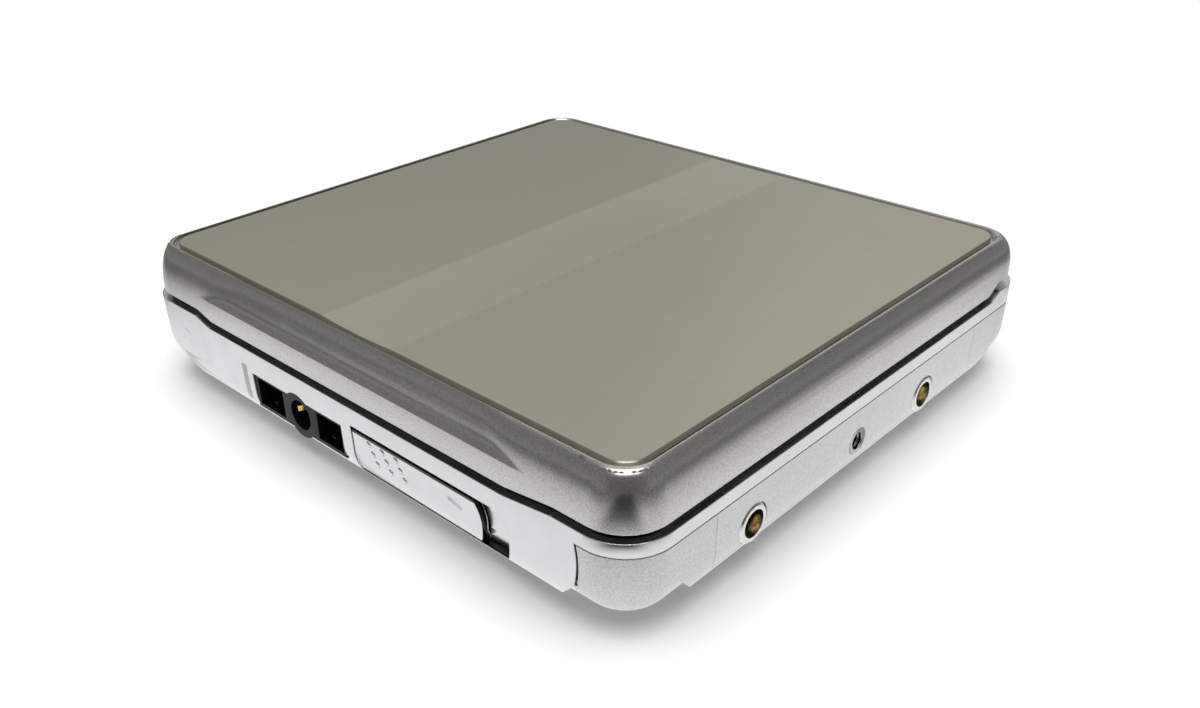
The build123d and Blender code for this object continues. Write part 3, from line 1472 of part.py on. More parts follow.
# ------------------------------------------------------------------ pickup carriage
base_left = lens_inner - pickup_half
base_right = lens_inner + pickup_half
base_front = disc_y - base_reach
base_back = rod_rear + base_overhang
base_top = deck_floor - base_clearance
with BuildPart() as pickup_base:
    add(box_between((base_left, base_front, base_low), (base_right, base_back, base_top)))
    # hollow that clears the rotor
    add(post(rotor_radius + rotor_room, 0, case_height, 0, disc_y), mode=Mode.SUBTRACT)
    # well for the lens and its magnets
    well_floor = base_top - well_depth
    well_low = (lens_inner - well_width / 2, disc_y - well_half, well_floor)
    well_far = (lens_inner + well_width / 2, disc_y + well_half, deck_floor)
    add(box_between(well_low, well_far), mode=Mode.SUBTRACT)
    # bearing on the rear rod, with a relief between its two ends
    bore = rod_along_x(rod_radius + running_clearance, 0, right, rod_rear, rod_height)
    add(bore, mode=Mode.SUBTRACT)
    relief_low = (base_left + sleeve_end, rod_rear - relief_half, base_low - 1)
    add(box_between(relief_low, (base_right - sleeve_end, base_back + 1, deck_floor)), mode=Mode.SUBTRACT)
    # forked ear on the front rod
    ear_start = (lens_inner - fork_half, rod_front - fork_reach, rod_height - fork_drop)
    add(box_between(ear_start, (lens_inner + fork_half, base_front, base_top - fork_step)))
    gap = rod_radius + running_clearance
    gap_low = (lens_inner - fork_half - 1, rod_front - fork_reach - 1, rod_height - gap)
    gap_far = (lens_inner + fork_half + 1, rod_front + gap, rod_height + gap)
    add(box_between(gap_low, gap_far), mode=Mode.SUBTRACT)
save(pickup_base.part, "pickup_base")

with BuildPart() as screw_follower:
    # leaf screwed under the carriage, ending in a half nut on the lead screw
    leaf_low = (lens_inner - follower_half, screw_y, base_low - follower_sheet)
    add(box_between(leaf_low, (lens_inner + follower_half, disc_y - follower_half, base_low)))
    nut_far = (lens_inner + follower_half, screw_y + nut_depth, screw_height + nut_rise)
    add(box_between(leaf_low, nut_far))
    bore = rod_along_x(screw_radius + running_clearance, 0, right, screw_y, screw_height)
    add(bore, mode=Mode.SUBTRACT)
save(screw_follower.part, "screw_follower")

with BuildPart() as focus_magnets:
    for sign in (-1, 1):
        inner_y = disc_y + sign * (lens_holder_half + magnet_gap)
        near, far = sorted((inner_y, disc_y + sign * (well_half - part_gap)))
        magnet_low = (lens_inner - magnet_half, near, well_floor)
        add(box_between(magnet_low, (lens_inner + magnet_half, far, base_top + magnet_rise)))
save(focus_magnets.part, "focus_magnets")

lens_low = base_top - lens_sink
lens_high = lens_low + lens_holder_height
with BuildPart() as lens_holder:
    with BuildSketch(Plane.XY.offset(lens_low)):
        with Locations((lens_inner, disc_y)):
            frame = Rectangle(lens_holder_width, 2 * lens_holder_half)
        chamfer(frame.vertices(), lens_holder_corner)
        with Locations((lens_inner, disc_y)):
            Circle(lens_radius, mode=Mode.SUBTRACT)
    extrude(amount=lens_holder_height)
save(lens_holder.part, "lens_holder")

with BuildPart() as objective_lens:
    lens_crown = lens_high + lens_crown_rise
    add(post(lens_radius, lens_high - lens_seat, lens_crown, lens_inner, disc_y))
    dome = Pos(lens_inner, disc_y, lens_crown - lens_curve) * Sphere(lens_curve, mode=Mode.PRIVATE)
    add(dome, mode=Mode.INTERSECT)
save(objective_lens.part, "objective_lens")

# ------------------------------------------------------------------ feed drive: motor, two gears, lead screw
def toothed_wheel(teeth, turn, y, width):
    """A small spur gear on an axis along X, with straight flanks."""
    pitch_radius = gear_module * teeth / 2
    root = pitch_radius - gear_root * gear_module
    tip = pitch_radius + gear_tip * gear_module
    step = pi / teeth
    outline = []
    for number in range(teeth):
        middle = turn + 2 * step * number
        land = gear_land * step
        for radius, angle in ((root, middle - step), (tip, middle - land), (tip, middle + land)):
            outline.append((radius * cos(angle), radius * sin(angle)))
    with BuildPart() as wheel:
        with BuildSketch(Plane((gear_x - width / 2, y, screw_height), x_dir=(0, 1, 0), z_dir=(1, 0, 0))):
            with BuildLine():
                Polyline(*outline, close=True)
            make_face()
        extrude(amount=width)
    return wheel.part


pinion_y = screw_y - gear_module * (screw_teeth + pinion_teeth) / 2
large_wheel = toothed_wheel(screw_teeth, 0, screw_y, gear_width)
small_wheel = toothed_wheel(pinion_teeth, pi / pinion_teeth, pinion_y, gear_width + 2 * part_gap)

with BuildPart() as screw_gear:
    add(large_wheel)
    add(plain_rod(screw_radius, gear_x - 2, gear_x + 2, screw_y, screw_height), mode=Mode.SUBTRACT)
save(screw_gear.part, "screw_gear")

with BuildPart() as motor_pinion:
    add(small_wheel)
    add(plain_rod(motor_shaft, gear_x - 2, gear_x + 2, pinion_y, screw_height), mode=Mode.SUBTRACT)
save(motor_pinion.part, "motor_pinion")

journal_start = rod_right - bearing_length - end_clearance
with BuildPart() as lead_screw:
    add(rod_along_x(screw_radius, gear_x - gear_width / 2, journal_start, screw_y, screw_height))
    add(rod_along_x(journal_radius, journal_start - hair, rod_right - part_gap, screw_y, screw_height))
save(lead_screw.part, "lead_screw")

motor_end = gear_x - motor_gap
with BuildPart() as feed_motor:
    with BuildSketch(Plane.YZ.offset(motor_end - motor_length)):
        with Locations((pinion_y, screw_height)):
            Circle(motor_width / 2)
            Rectangle(motor_width, motor_height, mode=Mode.INTERSECT)
    extrude(amount=motor_length)
    # bearing boss and the hole of the spindle
    add(rod_along_x(motor_boss, motor_end - part_gap, motor_end + motor_boss_length, pinion_y, screw_height))
    hole_start = motor_end - spindle_sink - part_gap
    bore = plain_rod(motor_shaft + running_clearance, hole_start, 0, pinion_y, screw_height)
    add(bore, mode=Mode.SUBTRACT)
save(feed_motor.part, "feed_motor")

with BuildPart() as motor_spindle:
    spindle_tip = gear_x + gear_width / 2 + part_gap
    add(rod_along_x(motor_shaft, motor_end - spindle_sink, spindle_tip, pinion_y, screw_height))
save(motor_spindle.part, "motor_spindle")

# ------------------------------------------------------------------ screws that close the case from below
with BuildPart() as case_screws:
    tops = (lug_low + lug_sheet, lug_low + lug_sheet, deck_top, deck_top)
    for (x, y), top in zip(corner_posts, tops):
        add(plain_post(screw_shank, corner_lift + part_gap, top, x, y))
        add(plain_post(screw_head, corner_lift + head_sink, corner_lift + screw_head_height, x, y, 12))
save(case_screws.part, "case_screws")
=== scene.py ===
import math

import bmesh
import bpy
from mathutils import Matrix, Vector
from mathutils.bvhtree import BVHTree


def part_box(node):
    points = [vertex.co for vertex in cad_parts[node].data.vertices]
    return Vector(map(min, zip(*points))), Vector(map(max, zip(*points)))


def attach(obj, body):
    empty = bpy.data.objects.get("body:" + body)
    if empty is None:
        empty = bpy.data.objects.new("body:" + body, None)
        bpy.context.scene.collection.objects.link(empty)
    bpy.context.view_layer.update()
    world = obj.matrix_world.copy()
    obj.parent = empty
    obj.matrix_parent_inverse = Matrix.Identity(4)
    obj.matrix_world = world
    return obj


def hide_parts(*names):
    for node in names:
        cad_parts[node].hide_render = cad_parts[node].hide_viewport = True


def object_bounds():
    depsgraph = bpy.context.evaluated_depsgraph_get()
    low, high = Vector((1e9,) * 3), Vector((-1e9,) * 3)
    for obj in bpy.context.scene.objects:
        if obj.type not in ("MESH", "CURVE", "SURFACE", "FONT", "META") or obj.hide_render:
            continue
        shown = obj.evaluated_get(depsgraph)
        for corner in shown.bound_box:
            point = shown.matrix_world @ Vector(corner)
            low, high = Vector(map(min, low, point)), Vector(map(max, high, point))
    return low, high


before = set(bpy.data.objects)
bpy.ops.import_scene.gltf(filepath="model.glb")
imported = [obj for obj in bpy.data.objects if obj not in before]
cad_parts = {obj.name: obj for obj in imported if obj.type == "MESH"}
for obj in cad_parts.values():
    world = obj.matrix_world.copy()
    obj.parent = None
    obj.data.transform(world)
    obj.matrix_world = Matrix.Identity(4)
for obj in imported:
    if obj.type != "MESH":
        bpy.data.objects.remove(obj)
cad_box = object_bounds()

bl_info = {
    "name": "Pocket disc player",
    "version": (1, 0, 0),
    "blender": (4, 5, 0),
    "location": "View3D > Sidebar > Disc player",
    "description": "Finishes, small marks, fastener details and a studio for a pocket disc player",
    "category": "Object",
}

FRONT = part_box("front_frame")[0][1]
JACK = {"x": -0.0086, "y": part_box("socket_housing")[0][1], "z": 0.00505, "radius": 0.0018}
BUSH_AXIS = (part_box("fixing_bush")[0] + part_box("fixing_bush")[1]) / 2
SCREW_AXIS = (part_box("lead_screw")[0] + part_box("lead_screw")[1]) / 2


# ---------- settings that a user would change
def number(name, description, value, **kind):
    """A number, with what it measures."""
    return bpy.props.FloatProperty(name=name, description=description, default=value, **kind)


def fraction(name, description, value):
    """A plain number between nought and one."""
    return number(name, description, value, min=0.0, max=1.0)


def metres(name, description, value):
    """A length."""
    return number(name, description, value, unit="LENGTH", subtype="DISTANCE")


def degrees(name, description, value):
    """An angle, given in degrees."""
    return number(name, description, math.radians(value), subtype="ANGLE")


def rgb(name, description, value):
    """A colour property with four channels."""
    return bpy.props.FloatVectorProperty(
        name=name, description=description, subtype="COLOR", size=4, min=0.0, max=1.0, default=(*value, 1.0)
    )


class ShellFinishSettings(bpy.types.PropertyGroup):
    bright: rgb("Bright metal", "Colour of the rim and the front panel", (0.7, 0.71, 0.72))
    bright_roughness: fraction("Bright roughness", "Roughness of the rim and the front panel", 0.2)
    satin: rgb("Satin case", "Colour of the bottom shell", (0.6, 0.6, 0.61))
    satin_roughness: fraction("Satin roughness", "Roughness of the bottom shell", 0.34)
    lid: rgb("Lid shell", "Colour of the lid's frame", (0.6, 0.59, 0.57))
    lid_roughness: fraction("Lid roughness", "Roughness of the lid's frame", 0.2)
    edge: metres("Edge", "Width of the rounding on the bright metal's edges", 0.00014)
    grain: metres("Grain", "Size of one metal flake in the satin finishes", 0.00016)


class PlateFinishSettings(bpy.types.PropertyGroup):
    base: rgb("Top plate", "Colour of the top plate", (0.56, 0.526, 0.45))
    # painted shade: the plate is painted darker towards its far left corner, where less light falls
    shaded_corner_tint: rgb("Cool side", "Tint of the plate's far left corner", (0.47, 0.46, 0.39))
    # painted sheen: the lighter band along the channel stands for light caught by its curve
    band: fraction("Channel band", "How much lighter the channel is than the rest of the plate", 0.14)
    band_width: metres("Channel width", "Width of the lighter band along the channel", 0.0118)
    roughness: fraction("Roughness", "Roughness of the top plate", 0.3)
    smudges: fraction("Smudges", "How much handling shows in the gloss", 0.2)
    brush: metres("Brush mark", "Spacing of the fine brush marks", 0.00009)


class MarkSettings(bpy.types.PropertyGroup):
    line: metres("Line", "Width of a raised mark's line", 0.00032)
    relief: metres("Relief", "How far a raised mark stands out", 0.00003)
    arrow_relief: metres("Arrow relief", "How far the opening arrow stands out", 0.00012)
    stud_radius: metres("Stud radius", "Radius of one grip stud", 0.0004)
    stud_height: metres("Stud height", "Height of one grip stud", 0.00014)
    stud_column: metres("Stud column", "Pitch of the grip studs along X", 0.0022)
    stud_row: metres("Stud row", "Pitch of the grip studs along Z", 0.001)
    stud_slant: metres("Stud slant", "How far each lower row is shifted along X", 0.00055)
    stud_x: metres("Stud place", "Where the first stud is along X", 0.0041)
    stud_z: metres("Stud level", "Height of the upper row of studs", 0.00675)
    arrow_x: metres("Arrow tip", "Where the opening arrow's tip is along X", 0.0185)
    arrow_z: metres("Arrow height", "Height of the opening arrow's middle", 0.00565)
    arrow_length: metres("Arrow length", "From the arrow's base to its tip", 0.0021)
    arrow_width: metres("Arrow width", "Width of the arrow's base", 0.0013)
    symbol_x: metres("Symbol place", "Where the earphone symbol is along X", -0.0316)
    symbol_z: metres("Symbol height", "Height of the earphone symbol's middle", 0.0072)
    symbol_radius: metres("Symbol radius", "Radius of the earphone symbol's band", 0.00085)


class LidSettings(bpy.types.PropertyGroup):
    foot: metres("Foot of the rounding", "Height where the lid's wall starts to lean in", 0.0117)
    width: metres("Width of the rounding", "How far the rounding reaches in", 0.0019)
    corner: metres("Corner", "Plan radius of the lid's corners", 0.005)
    flute_end: metres("Flute end", "Where the flute's points are along X", 0.0286)
    flute_run: metres("Flute run-out", "Length of each pointed end", 0.0046)
    flute_blend: metres("Flute blend", "How softly the flute's ends run out", 0.0046)
    flute_shade: fraction("Flute shade", "How far the shading follows the flute's pointed ends", 0.35)
    fade_start: metres("Rounding's fade", "Where the rounding starts to fade towards the hinge", 0.025)
    fade_end: metres("Rounding's end", "Where the rounding has faded to the plain edge", 0.033)


class StudioSettings(bpy.types.PropertyGroup):
    azimuth: degrees("Azimuth", "Camera's turn round the player", 43.034)
    elevation: degrees("Elevation", "Camera's height angle", 28.312)
    roll: degrees("Roll", "Camera's tilt", -0.732)
    distance: metres("Distance", "Camera to the origin along its axis", 0.144464)
    right: metres("Sideways", "Camera's offset to its right", 0.001837)
    up: metres("Upwards", "Camera's offset upwards", 0.000942)
    lens: number("Lens", "Focal length on a 36 mm sensor", 33.78, unit="CAMERA")
    key_power: number("Overhead light", "Power of the softbox over the near corner", 1.5, unit="POWER")
    sky: number("Room light", "Brightness of the room", 1.0, min=0.0)


# ---------- node helpers
class Nodes:
    """Short ways to add and join the nodes of one tree."""

    def __init__(self, tree):
        self.tree = tree

    def feed(self, socket, value):
        """Link the given socket to this one, or write a constant on it."""
        if isinstance(value, bpy.types.NodeSocket):
            self.tree.links.new(value, socket)
        else:
            socket.default_value = value

    def node(self, kind, inputs=None, **settings):
        """Add a node with its settings and with what goes into it."""
        node = self.tree.nodes.new(kind)
        for key, value in settings.items():
            setattr(node, key, value)
        for key, value in (inputs or {}).items():
            self.feed(node.inputs[key], value)
        return node

    def maths(self, operation, *values):
        """Result of a sum on sockets or numbers."""
        return self.node("ShaderNodeMath", dict(enumerate(values)), operation=operation).outputs["Value"]

    def vectors(self, operation, *values):
        """Result of a sum on sockets or vectors."""
        node = self.node("ShaderNodeVectorMath", dict(enumerate(values)), operation=operation)
        return node.outputs["Value" if operation in ("DOT_PRODUCT", "LENGTH") else "Vector"]

    def split(self, vector):
        """The X, Y and Z of a vector."""
        return self.node("ShaderNodeSeparateXYZ", {"Vector": vector}).outputs

    def spread(self, value, low, high, start=0.3, end=0.7, smooth=False):
        """From low to high while the value goes from start to end."""
        inputs = {"Value": value, "From Min": start, "From Max": end, "To Min": low, "To Max": high}
        course = "SMOOTHSTEP" if smooth else "LINEAR"
        return self.node("ShaderNodeMapRange", inputs, interpolation_type=course).outputs["Result"]

    def ramp(self, value, *stops):
        """A colour ramp; each stop is a position with a grey level or a colour."""
        node = self.node("ShaderNodeValToRGB", {"Fac": value})
        elements = node.color_ramp.elements
        elements[0].position = stops[0][0]
        elements[1].position = stops[-1][0]
        for position, _ in stops[1:-1]:
            elements.new(position)
        for element, (_, tone) in zip(elements, stops):
            channels = (tone,) * 3 if isinstance(tone, float) else tuple(tone)[:3]
            element.color = (*channels, 1.0)
        return node.outputs["Color"]

    def blend(self, factor, first, second, way="MIX"):
        """The first colour where the factor is nought and the second where it is one."""
        inputs = {"Factor": factor, "A": first, "B": second}
        return self.node("ShaderNodeMix", inputs, data_type="RGBA", blend_type=way).outputs["Result"]

    def own_place(self):
        """The X, Y and Z of a point in the player's own frame, in metres."""
        return self.split(self.node("ShaderNodeTexCoord").outputs["Object"])

    def seen_directly(self):
        """One for what the camera sees straight or through glass."""
        rays = self.node("ShaderNodeLightPath").outputs
        return self.maths("MAXIMUM", rays["Is Camera Ray"], rays["Is Transmission Ray"])

    def sector(self, direction, way, start, end):
        """One on the side that the way points to and nought elsewhere; start and end are cosines."""
        flat = self.vectors("NORMALIZE", self.vectors("MULTIPLY", direction, (1.0, 1.0, 0.0)))
        return self.spread(self.vectors("DOT_PRODUCT", flat, way), 0.0, 1.0, start, end, smooth=True)


class Finish(Nodes):
    """One procedural material: a principled shader and the nodes that feed it."""

    def __init__(self, name, colour, metallic, roughness):
        self.material = bpy.data.materials.new(name)
        self.material.use_nodes = True
        super().__init__(self.material.node_tree)
        self.shader = self.tree.nodes["Principled BSDF"]
        self.colour = tuple(colour)[:3]
        self.material.diffuse_color = (*self.colour, 1.0)
        self.set("Base Color", (*self.colour, 1.0))
        self.set("Metallic", metallic)
        self.set("Roughness", roughness)

    def set(self, socket, value):
        """Feed one of the shader's own sockets."""
        self.feed(self.shader.inputs[socket], value)

    def cover(self, *names):
        """Put the finish on CAD nodes in place of their stored one."""
        for name in names:
            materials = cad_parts[name].data.materials
            materials.clear()
            materials.append(self.material)

    def place(self, scale):
        """Coordinates in the player's own frame, stretched by scale."""
        own = self.node("ShaderNodeTexCoord").outputs["Object"]
        return self.node("ShaderNodeMapping", {"Vector": own, "Scale": scale}).outputs["Vector"]

    def noise(self, size, detail=2.0, stretch=(1, 1, 1), rough=0.5):
        """Noise whose cells measure about size metres."""
        vector = self.place(tuple(value / size for value in stretch))
        inputs = {"Vector": vector, "Scale": 1.0, "Detail": detail, "Roughness": rough}
        return self.node("ShaderNodeTexNoise", inputs).outputs["Fac"]

    def tint(self, value, first, second):
        """From one tone to another over the middle of a noise's range."""
        return self.ramp(value, (0.3, first), (0.7, second))

    def shade(self, factor):
        """The finish's colour, lighter or darker."""
        return tuple(min(1.0, channel * factor) for channel in self.colour)

    def vary(self, size, amount, detail=2.0):
        """Let the colour drift a little over the surface."""
        drift = self.noise(size, detail)
        self.set("Base Color", self.tint(drift, self.shade(1 - amount), self.shade(1 + amount)))

    def uneven_gloss(self, size, low, high):
        """Let the roughness drift between two values."""
        self.set("Roughness", self.spread(self.noise(size, detail=3.0), low, high))

    def relief(self, height, distance, strength, edge=0.0):
        """Bump from a height, over edges rounded by edge metres."""
        inputs = {"Height": height, "Distance": distance, "Strength": strength}
        if edge:
            inputs["Normal"] = self.node("ShaderNodeBevel", {"Radius": edge}, samples=4).outputs["Normal"]
        self.set("Normal", self.node("ShaderNodeBump", inputs).outputs["Normal"])

    def facing(self, axis, start):
        """One on the faces that look along an axis: its share of their normal is over start."""
        normal = self.split(self.node("ShaderNodeNewGeometry").outputs["True Normal"])
        return self.spread(normal[axis], 0.0, 1.0, start, start + 0.1)

    def shadow_floor(self, low, high):
        """Painted shade: black on the faces that look up inside a box, such as a slot's floor, which lies in
        shadow.
        """
        soft = 0.00002
        place = self.own_place()
        dark = self.facing("Z", 0.5)
        for axis, least, most in zip("XYZ", low, high):
            dark = self.maths("MULTIPLY", dark, self.spread(place[axis], 0.0, 1.0, least, least + soft))
            dark = self.maths("MULTIPLY", dark, self.spread(place[axis], 1.0, 0.0, most - soft, most))
        self.paint_black_shade(dark)

    def shadow_edges(self, top):
        """Painted shade: black on the faces that look up or to the right, and along the top edge, where the
        gap around a part lies in shadow.
        """
        lip = 0.0003
        soft = 0.00004
        sides = self.maths("MAXIMUM", self.facing("Z", 0.5), self.facing("X", 0.6))
        along_top = self.spread(self.own_place()["Z"], 0.0, 1.0, top - lip - soft, top - lip)
        self.paint_black_shade(self.maths("MAXIMUM", sides, along_top))

    def paint_black_shade(self, dark):
        """Painted shade: near-black, not metallic, where the mask is one."""
        bare = self.shader.inputs["Base Color"].links[0].from_socket
        self.set("Base Color", self.blend(dark, bare, (0.004, 0.004, 0.004, 1.0)))
        self.set("Metallic", self.maths("SUBTRACT", 1.0, dark))


# ---------- the finishes
def flaked_metal(name, colour, roughness, grain):
    """Metallic paint: fine flakes, a slow drift of tone and soft handling marks."""
    finish = Finish(name, colour, 0.92, roughness)
    finish.vary(grain, 0.14, detail=1.0)
    finish.uneven_gloss(0.009, roughness - 0.03, roughness + 0.05)
    finish.relief(finish.noise(grain, 1.0), 0.000004, 0.35, edge=0.00012)
    finish.set("Coat Weight", 0.35)
    finish.set("Coat Roughness", 0.12)
    return finish


def bright_metal(name, colour, roughness):
    """Bright plated metal with a faint ripple and a few hairline marks."""
    finish = Finish(name, colour, 1.0, roughness)
    finish.vary(0.004, 0.03)
    hairlines = finish.noise(0.00035, stretch=(0.06, 0.06, 1.0))
    ripple = finish.noise(0.0035, 1.0)
    finish.uneven_gloss(0.006, roughness - 0.04, roughness + 0.08)
    finish.relief(finish.maths("MULTIPLY_ADD", hairlines, 0.08, ripple), 0.00002, 0.35, edge=0.00015)
    return finish


def brushed_plate(settings):
    """Anodised sheet brushed from front to back and smudged by handling, with painted light: a tone that
    lightens towards the near right corner and a painted sheen along its channel.
    """
    finish = Finish("top_sheet", settings.base, 0.9, settings.roughness)
    place = finish.own_place()
    # painted light: the tone lightens from the far left corner to the near right one, as the room's light
    # falls
    across = finish.spread(finish.maths("SUBTRACT", place["X"], place["Y"]), 0.0, 1.0, -0.06, 0.05)
    tone = finish.ramp(across, (0.0, settings.shaded_corner_tint), (1.0, settings.base))
    # painted sheen: the channel is painted lighter, a little more towards the hinge, as its curve catches the
    # light
    edge = settings.band_width / 2
    soft = 0.0003
    inside = finish.spread(finish.maths("ABSOLUTE", place["X"]), 1.0, 0.0, edge - soft, edge + soft)
    sheen_towards_hinge = finish.spread(place["Y"], 0.8, 1.0, FRONT, -FRONT)
    lift = finish.ramp(finish.maths("MULTIPLY", inside, sheen_towards_hinge), (0.0, 1.0), (1.0, 1.0 + settings.band))
    brush = finish.noise(settings.brush, stretch=(1.0, 0.012, 1.0))
    for layer in (lift, finish.tint(brush, 0.93, 1.0)):
        tone = finish.blend(1.0, tone, layer, "MULTIPLY")
    finish.set("Base Color", tone)
    smudge = finish.noise(0.011, 4.0, rough=0.6)
    tight = settings.roughness - 0.05 * settings.smudges
    loose = settings.roughness + 0.2 * settings.smudges
    finish.set("Roughness", finish.spread(smudge, tight, loose, 0.42, 0.66))
    finish.relief(brush, 0.0000015, 0.4)
    finish.set("Coat Weight", 0.2)
    finish.set("Coat Roughness", 0.1)
    return finish


def moulded_plastic(name, colour, roughness):
    """Moulded plastic with a fine spark texture."""
    finish = Finish(name, colour, 0.0, roughness)
    finish.vary(0.003, 0.12)
    finish.uneven_gloss(0.0025, roughness - 0.05, roughness + 0.1)
    finish.relief(finish.noise(0.0002, 1.0), 0.00001, 0.3, edge=0.0001)
    return finish


def sheet_steel(name, colour, roughness, stretch=(1.0, 0.03, 1.0)):
    """Rolled or ground steel with fine lines along its rolling direction."""
    finish = Finish(name, colour, 0.85, roughness)
    lines = finish.noise(0.00012, 3.0, stretch)
    finish.set("Base Color", finish.tint(lines, finish.shade(0.86), finish.shade(1.08)))
    finish.uneven_gloss(0.004, roughness - 0.04, roughness + 0.12)
    finish.relief(lines, 0.000006, 0.4, edge=0.00008)
    return finish


def gilt_metal(name, colour, roughness):
    """Gold or nickel plating, slightly worn."""
    finish = Finish(name, colour, 1.0, roughness)
    finish.vary(0.0008, 0.12, detail=3.0)
    finish.uneven_gloss(0.0006, roughness, roughness + 0.16)
    finish.relief(finish.noise(0.0003, 1.0), 0.000005, 0.3, edge=0.0001)
    return finish


def board_mask(name, colour):
    """Green solder mask over a weave of copper tracks."""
    finish = Finish(name, colour, 0.0, 0.35)
    cell = 0.0011
    inputs = {"Vector": finish.place((1 / cell, 1 / cell, 1.0)), "Scale": 1.0, "Mortar Size": 0.06}
    for socket, factor in (("Color1", 1.0), ("Color2", 0.75), ("Mortar", 1.7)):
        inputs[socket] = (*finish.shade(factor), 1.0)
    tracks = finish.node("ShaderNodeTexBrick", inputs).outputs
    finish.set("Base Color", tracks["Color"])
    finish.relief(tracks["Fac"], 0.00002, 0.4)
    finish.set("Coat Weight", 0.4)
    return finish


def threaded_steel(name, colour, pitch, centre):
    """Ground steel with a screw thread in its relief, round an axis along X, with painted shade in the
    thread's valleys.
    """
    finish = Finish(name, colour, 1.0, 0.22)
    place = finish.own_place()
    over = finish.maths("SUBTRACT", place["Z"], centre[2])
    beside = finish.maths("SUBTRACT", place["Y"], centre[1])
    turn = finish.maths("ARCTAN2", over, beside)
    wave = finish.maths("SINE", finish.maths("MULTIPLY_ADD", place["X"], 2 * math.pi / pitch, turn))
    height = finish.spread(wave, 0.0, 1.0, -1.0, 1.0)
    # painted shade and highlight: the thread's valleys are painted darker and its crests lighter
    finish.set("Base Color", finish.tint(height, finish.shade(0.45), finish.shade(1.1)))
    finish.relief(wave, 0.00012, 0.8)
    return finish


def lens_coating(name, colour):
    """Coated lens glass."""
    finish = Finish(name, colour, 0.0, 0.03)
    finish.set("Transmission Weight", 0.75)
    finish.set("IOR", 1.52)
    finish.set("Coat Weight", 1.0)
    finish.set("Coat Tint", (0.5, 0.45, 1.0, 1.0))
    finish.vary(0.001, 0.1)
    return finish


# ---------- mesh helpers
def link_object(name, data):
    """Put a mesh, a lamp or a camera in the scene."""
    piece = bpy.data.objects.new(name, data)
    bpy.context.scene.collection.objects.link(piece)
    return piece


def mesh_from(name, work):
    """The mesh of an edit mesh, which is freed."""
    mesh = bpy.data.meshes.new(name)
    work.to_mesh(mesh)
    work.free()
    return mesh


def piece_from(name, work, finish):
    """A linked object from an edit mesh, with its faces turned outwards."""
    bmesh.ops.recalc_face_normals(work, faces=work.faces)
    piece = link_object(name, mesh_from(name, work))
    piece.data.materials.append(finish.material)
    return piece


def join_rows(work, rows, closed=True, ends=(0, -1)):
    """Faces between each row of vertices and the next, and over the rows at the ends."""
    for first, second in zip(rows, rows[1:]):
        for index in range(len(first) if closed else len(first) - 1):
            following = (index + 1) % len(first)
            work.faces.new((first[index], first[following], second[following], second[index]))
    for end in ends:
        work.faces.new(rows[end])


def turned_rings(work, profile, sides, spot):
    """Rings of vertices for (rise, radius) pairs, each vertex placed by spot(rise, across, up)."""
    turns = [2 * math.pi * side / sides for side in range(sides)]
    return [
        [work.verts.new(spot(rise, radius * math.cos(turn), radius * math.sin(turn))) for turn in turns]
        for rise, radius in profile
    ]


def soften_edges(name, width):
    """Round the hard edges of a CAD node a little, as plating and tumbling do."""
    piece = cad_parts[name]
    weld = piece.modifiers.new("weld", "WELD")
    weld.merge_threshold = 0.000002
    flat = piece.modifiers.new("flat", "DECIMATE")
    flat.decimate_type = "DISSOLVE"
    flat.angle_limit = math.radians(0.5)
    rounding = piece.modifiers.new("rounding", "BEVEL")
    rounding.width = width
    rounding.segments = 2
    rounding.limit_method = "ANGLE"
    rounding.angle_limit = math.radians(38)
    rounding.use_clamp_overlap = True
    rounding.harden_normals = False


# ---------- the lid's rounding
# height and how far in, in millimetres: the lid's wall as it is in CAD, and the bottom of the new flute
CAD_WALL = (
    (10.0, 0.0), (14.2, 0.0), (14.405, 0.008), (14.806, 0.036), (15.03, 0.068), (15.208, 0.112),
    (15.582, 0.198), (15.716, 0.24), (15.899, 0.315), (16.036, 0.367), (16.222, 0.465), (16.311, 0.508),
    (16.518, 0.645), (16.657, 0.746), (16.813, 0.893), (16.888, 0.973), (16.966, 1.072), (17.035, 1.178),
    (17.084, 1.275), (17.139, 1.399), (17.174, 1.521), (17.186, 1.628), (17.2, 1.75),
)
FLUTE = (
    (13.4, 0.1), (14.0, 0.52), (14.3, 0.66), (14.6, 0.76), (15.2, 0.92), (15.9, 1.13), (16.5, 1.38),
    (16.9, 1.6), (17.1, 1.76), (17.2, 1.9),
)
FLUTE_FOOT = 0.0134
FLUTE_RISE = 0.0031  # from the flute's foot to where its points are fully run out
FLUTE_DEPTH = 0.00107  # of the flute in the CAD lid
LEVEL_STEP = 0.0003  # between the cuts along the wall
TOP_CUTS = (0.00015, 0.00007)  # cuts this far below the top
END_CUTS = [step * 0.0005 - 0.0106 for step in range(23)]  # cuts across a flute's end, from its point


def read_off(profile, height):
    """How far in a profile is at one height in metres, by straight lines between its points."""
    height *= 1000
    if height <= profile[0][0]:
        return profile[0][1] / 1000
    for (low, first), (high, second) in zip(profile, profile[1:]):
        if height <= high:
            return (first + (second - first) * (height - low) / (high - low)) / 1000
    return profile[-1][1] / 1000


def ease(value):
    """Smooth step from nought to one."""
    value = min(1.0, max(0.0, value))
    return value * value * (3 - 2 * value)


def depth_and_way(x, y, half_x, half_y, corner):
    """How far a point is inside the lid's outline, and the way out."""
    over_x = abs(x) - (half_x - corner)
    over_y = abs(y) - (half_y - corner)
    if over_x > 0 and over_y > 0:
        length = math.hypot(over_x, over_y)
        return corner - length, (math.copysign(over_x / length, x), math.copysign(over_y / length, y))
    if half_x - abs(x) < half_y - abs(y):
        return half_x - abs(x), (math.copysign(1.0, x), 0.0)
    return half_y - abs(y), (0.0, math.copysign(1.0, y))


def flute_share(settings, x, z):
    """One in the finger flute, nought past its pointed ends."""
    above = z - FLUTE_FOOT
    if above <= 0:
        return 0.0
    end = settings.flute_end - settings.flute_run * (above / FLUTE_RISE) ** 0.6
    return ease((end - abs(x)) / settings.flute_blend)


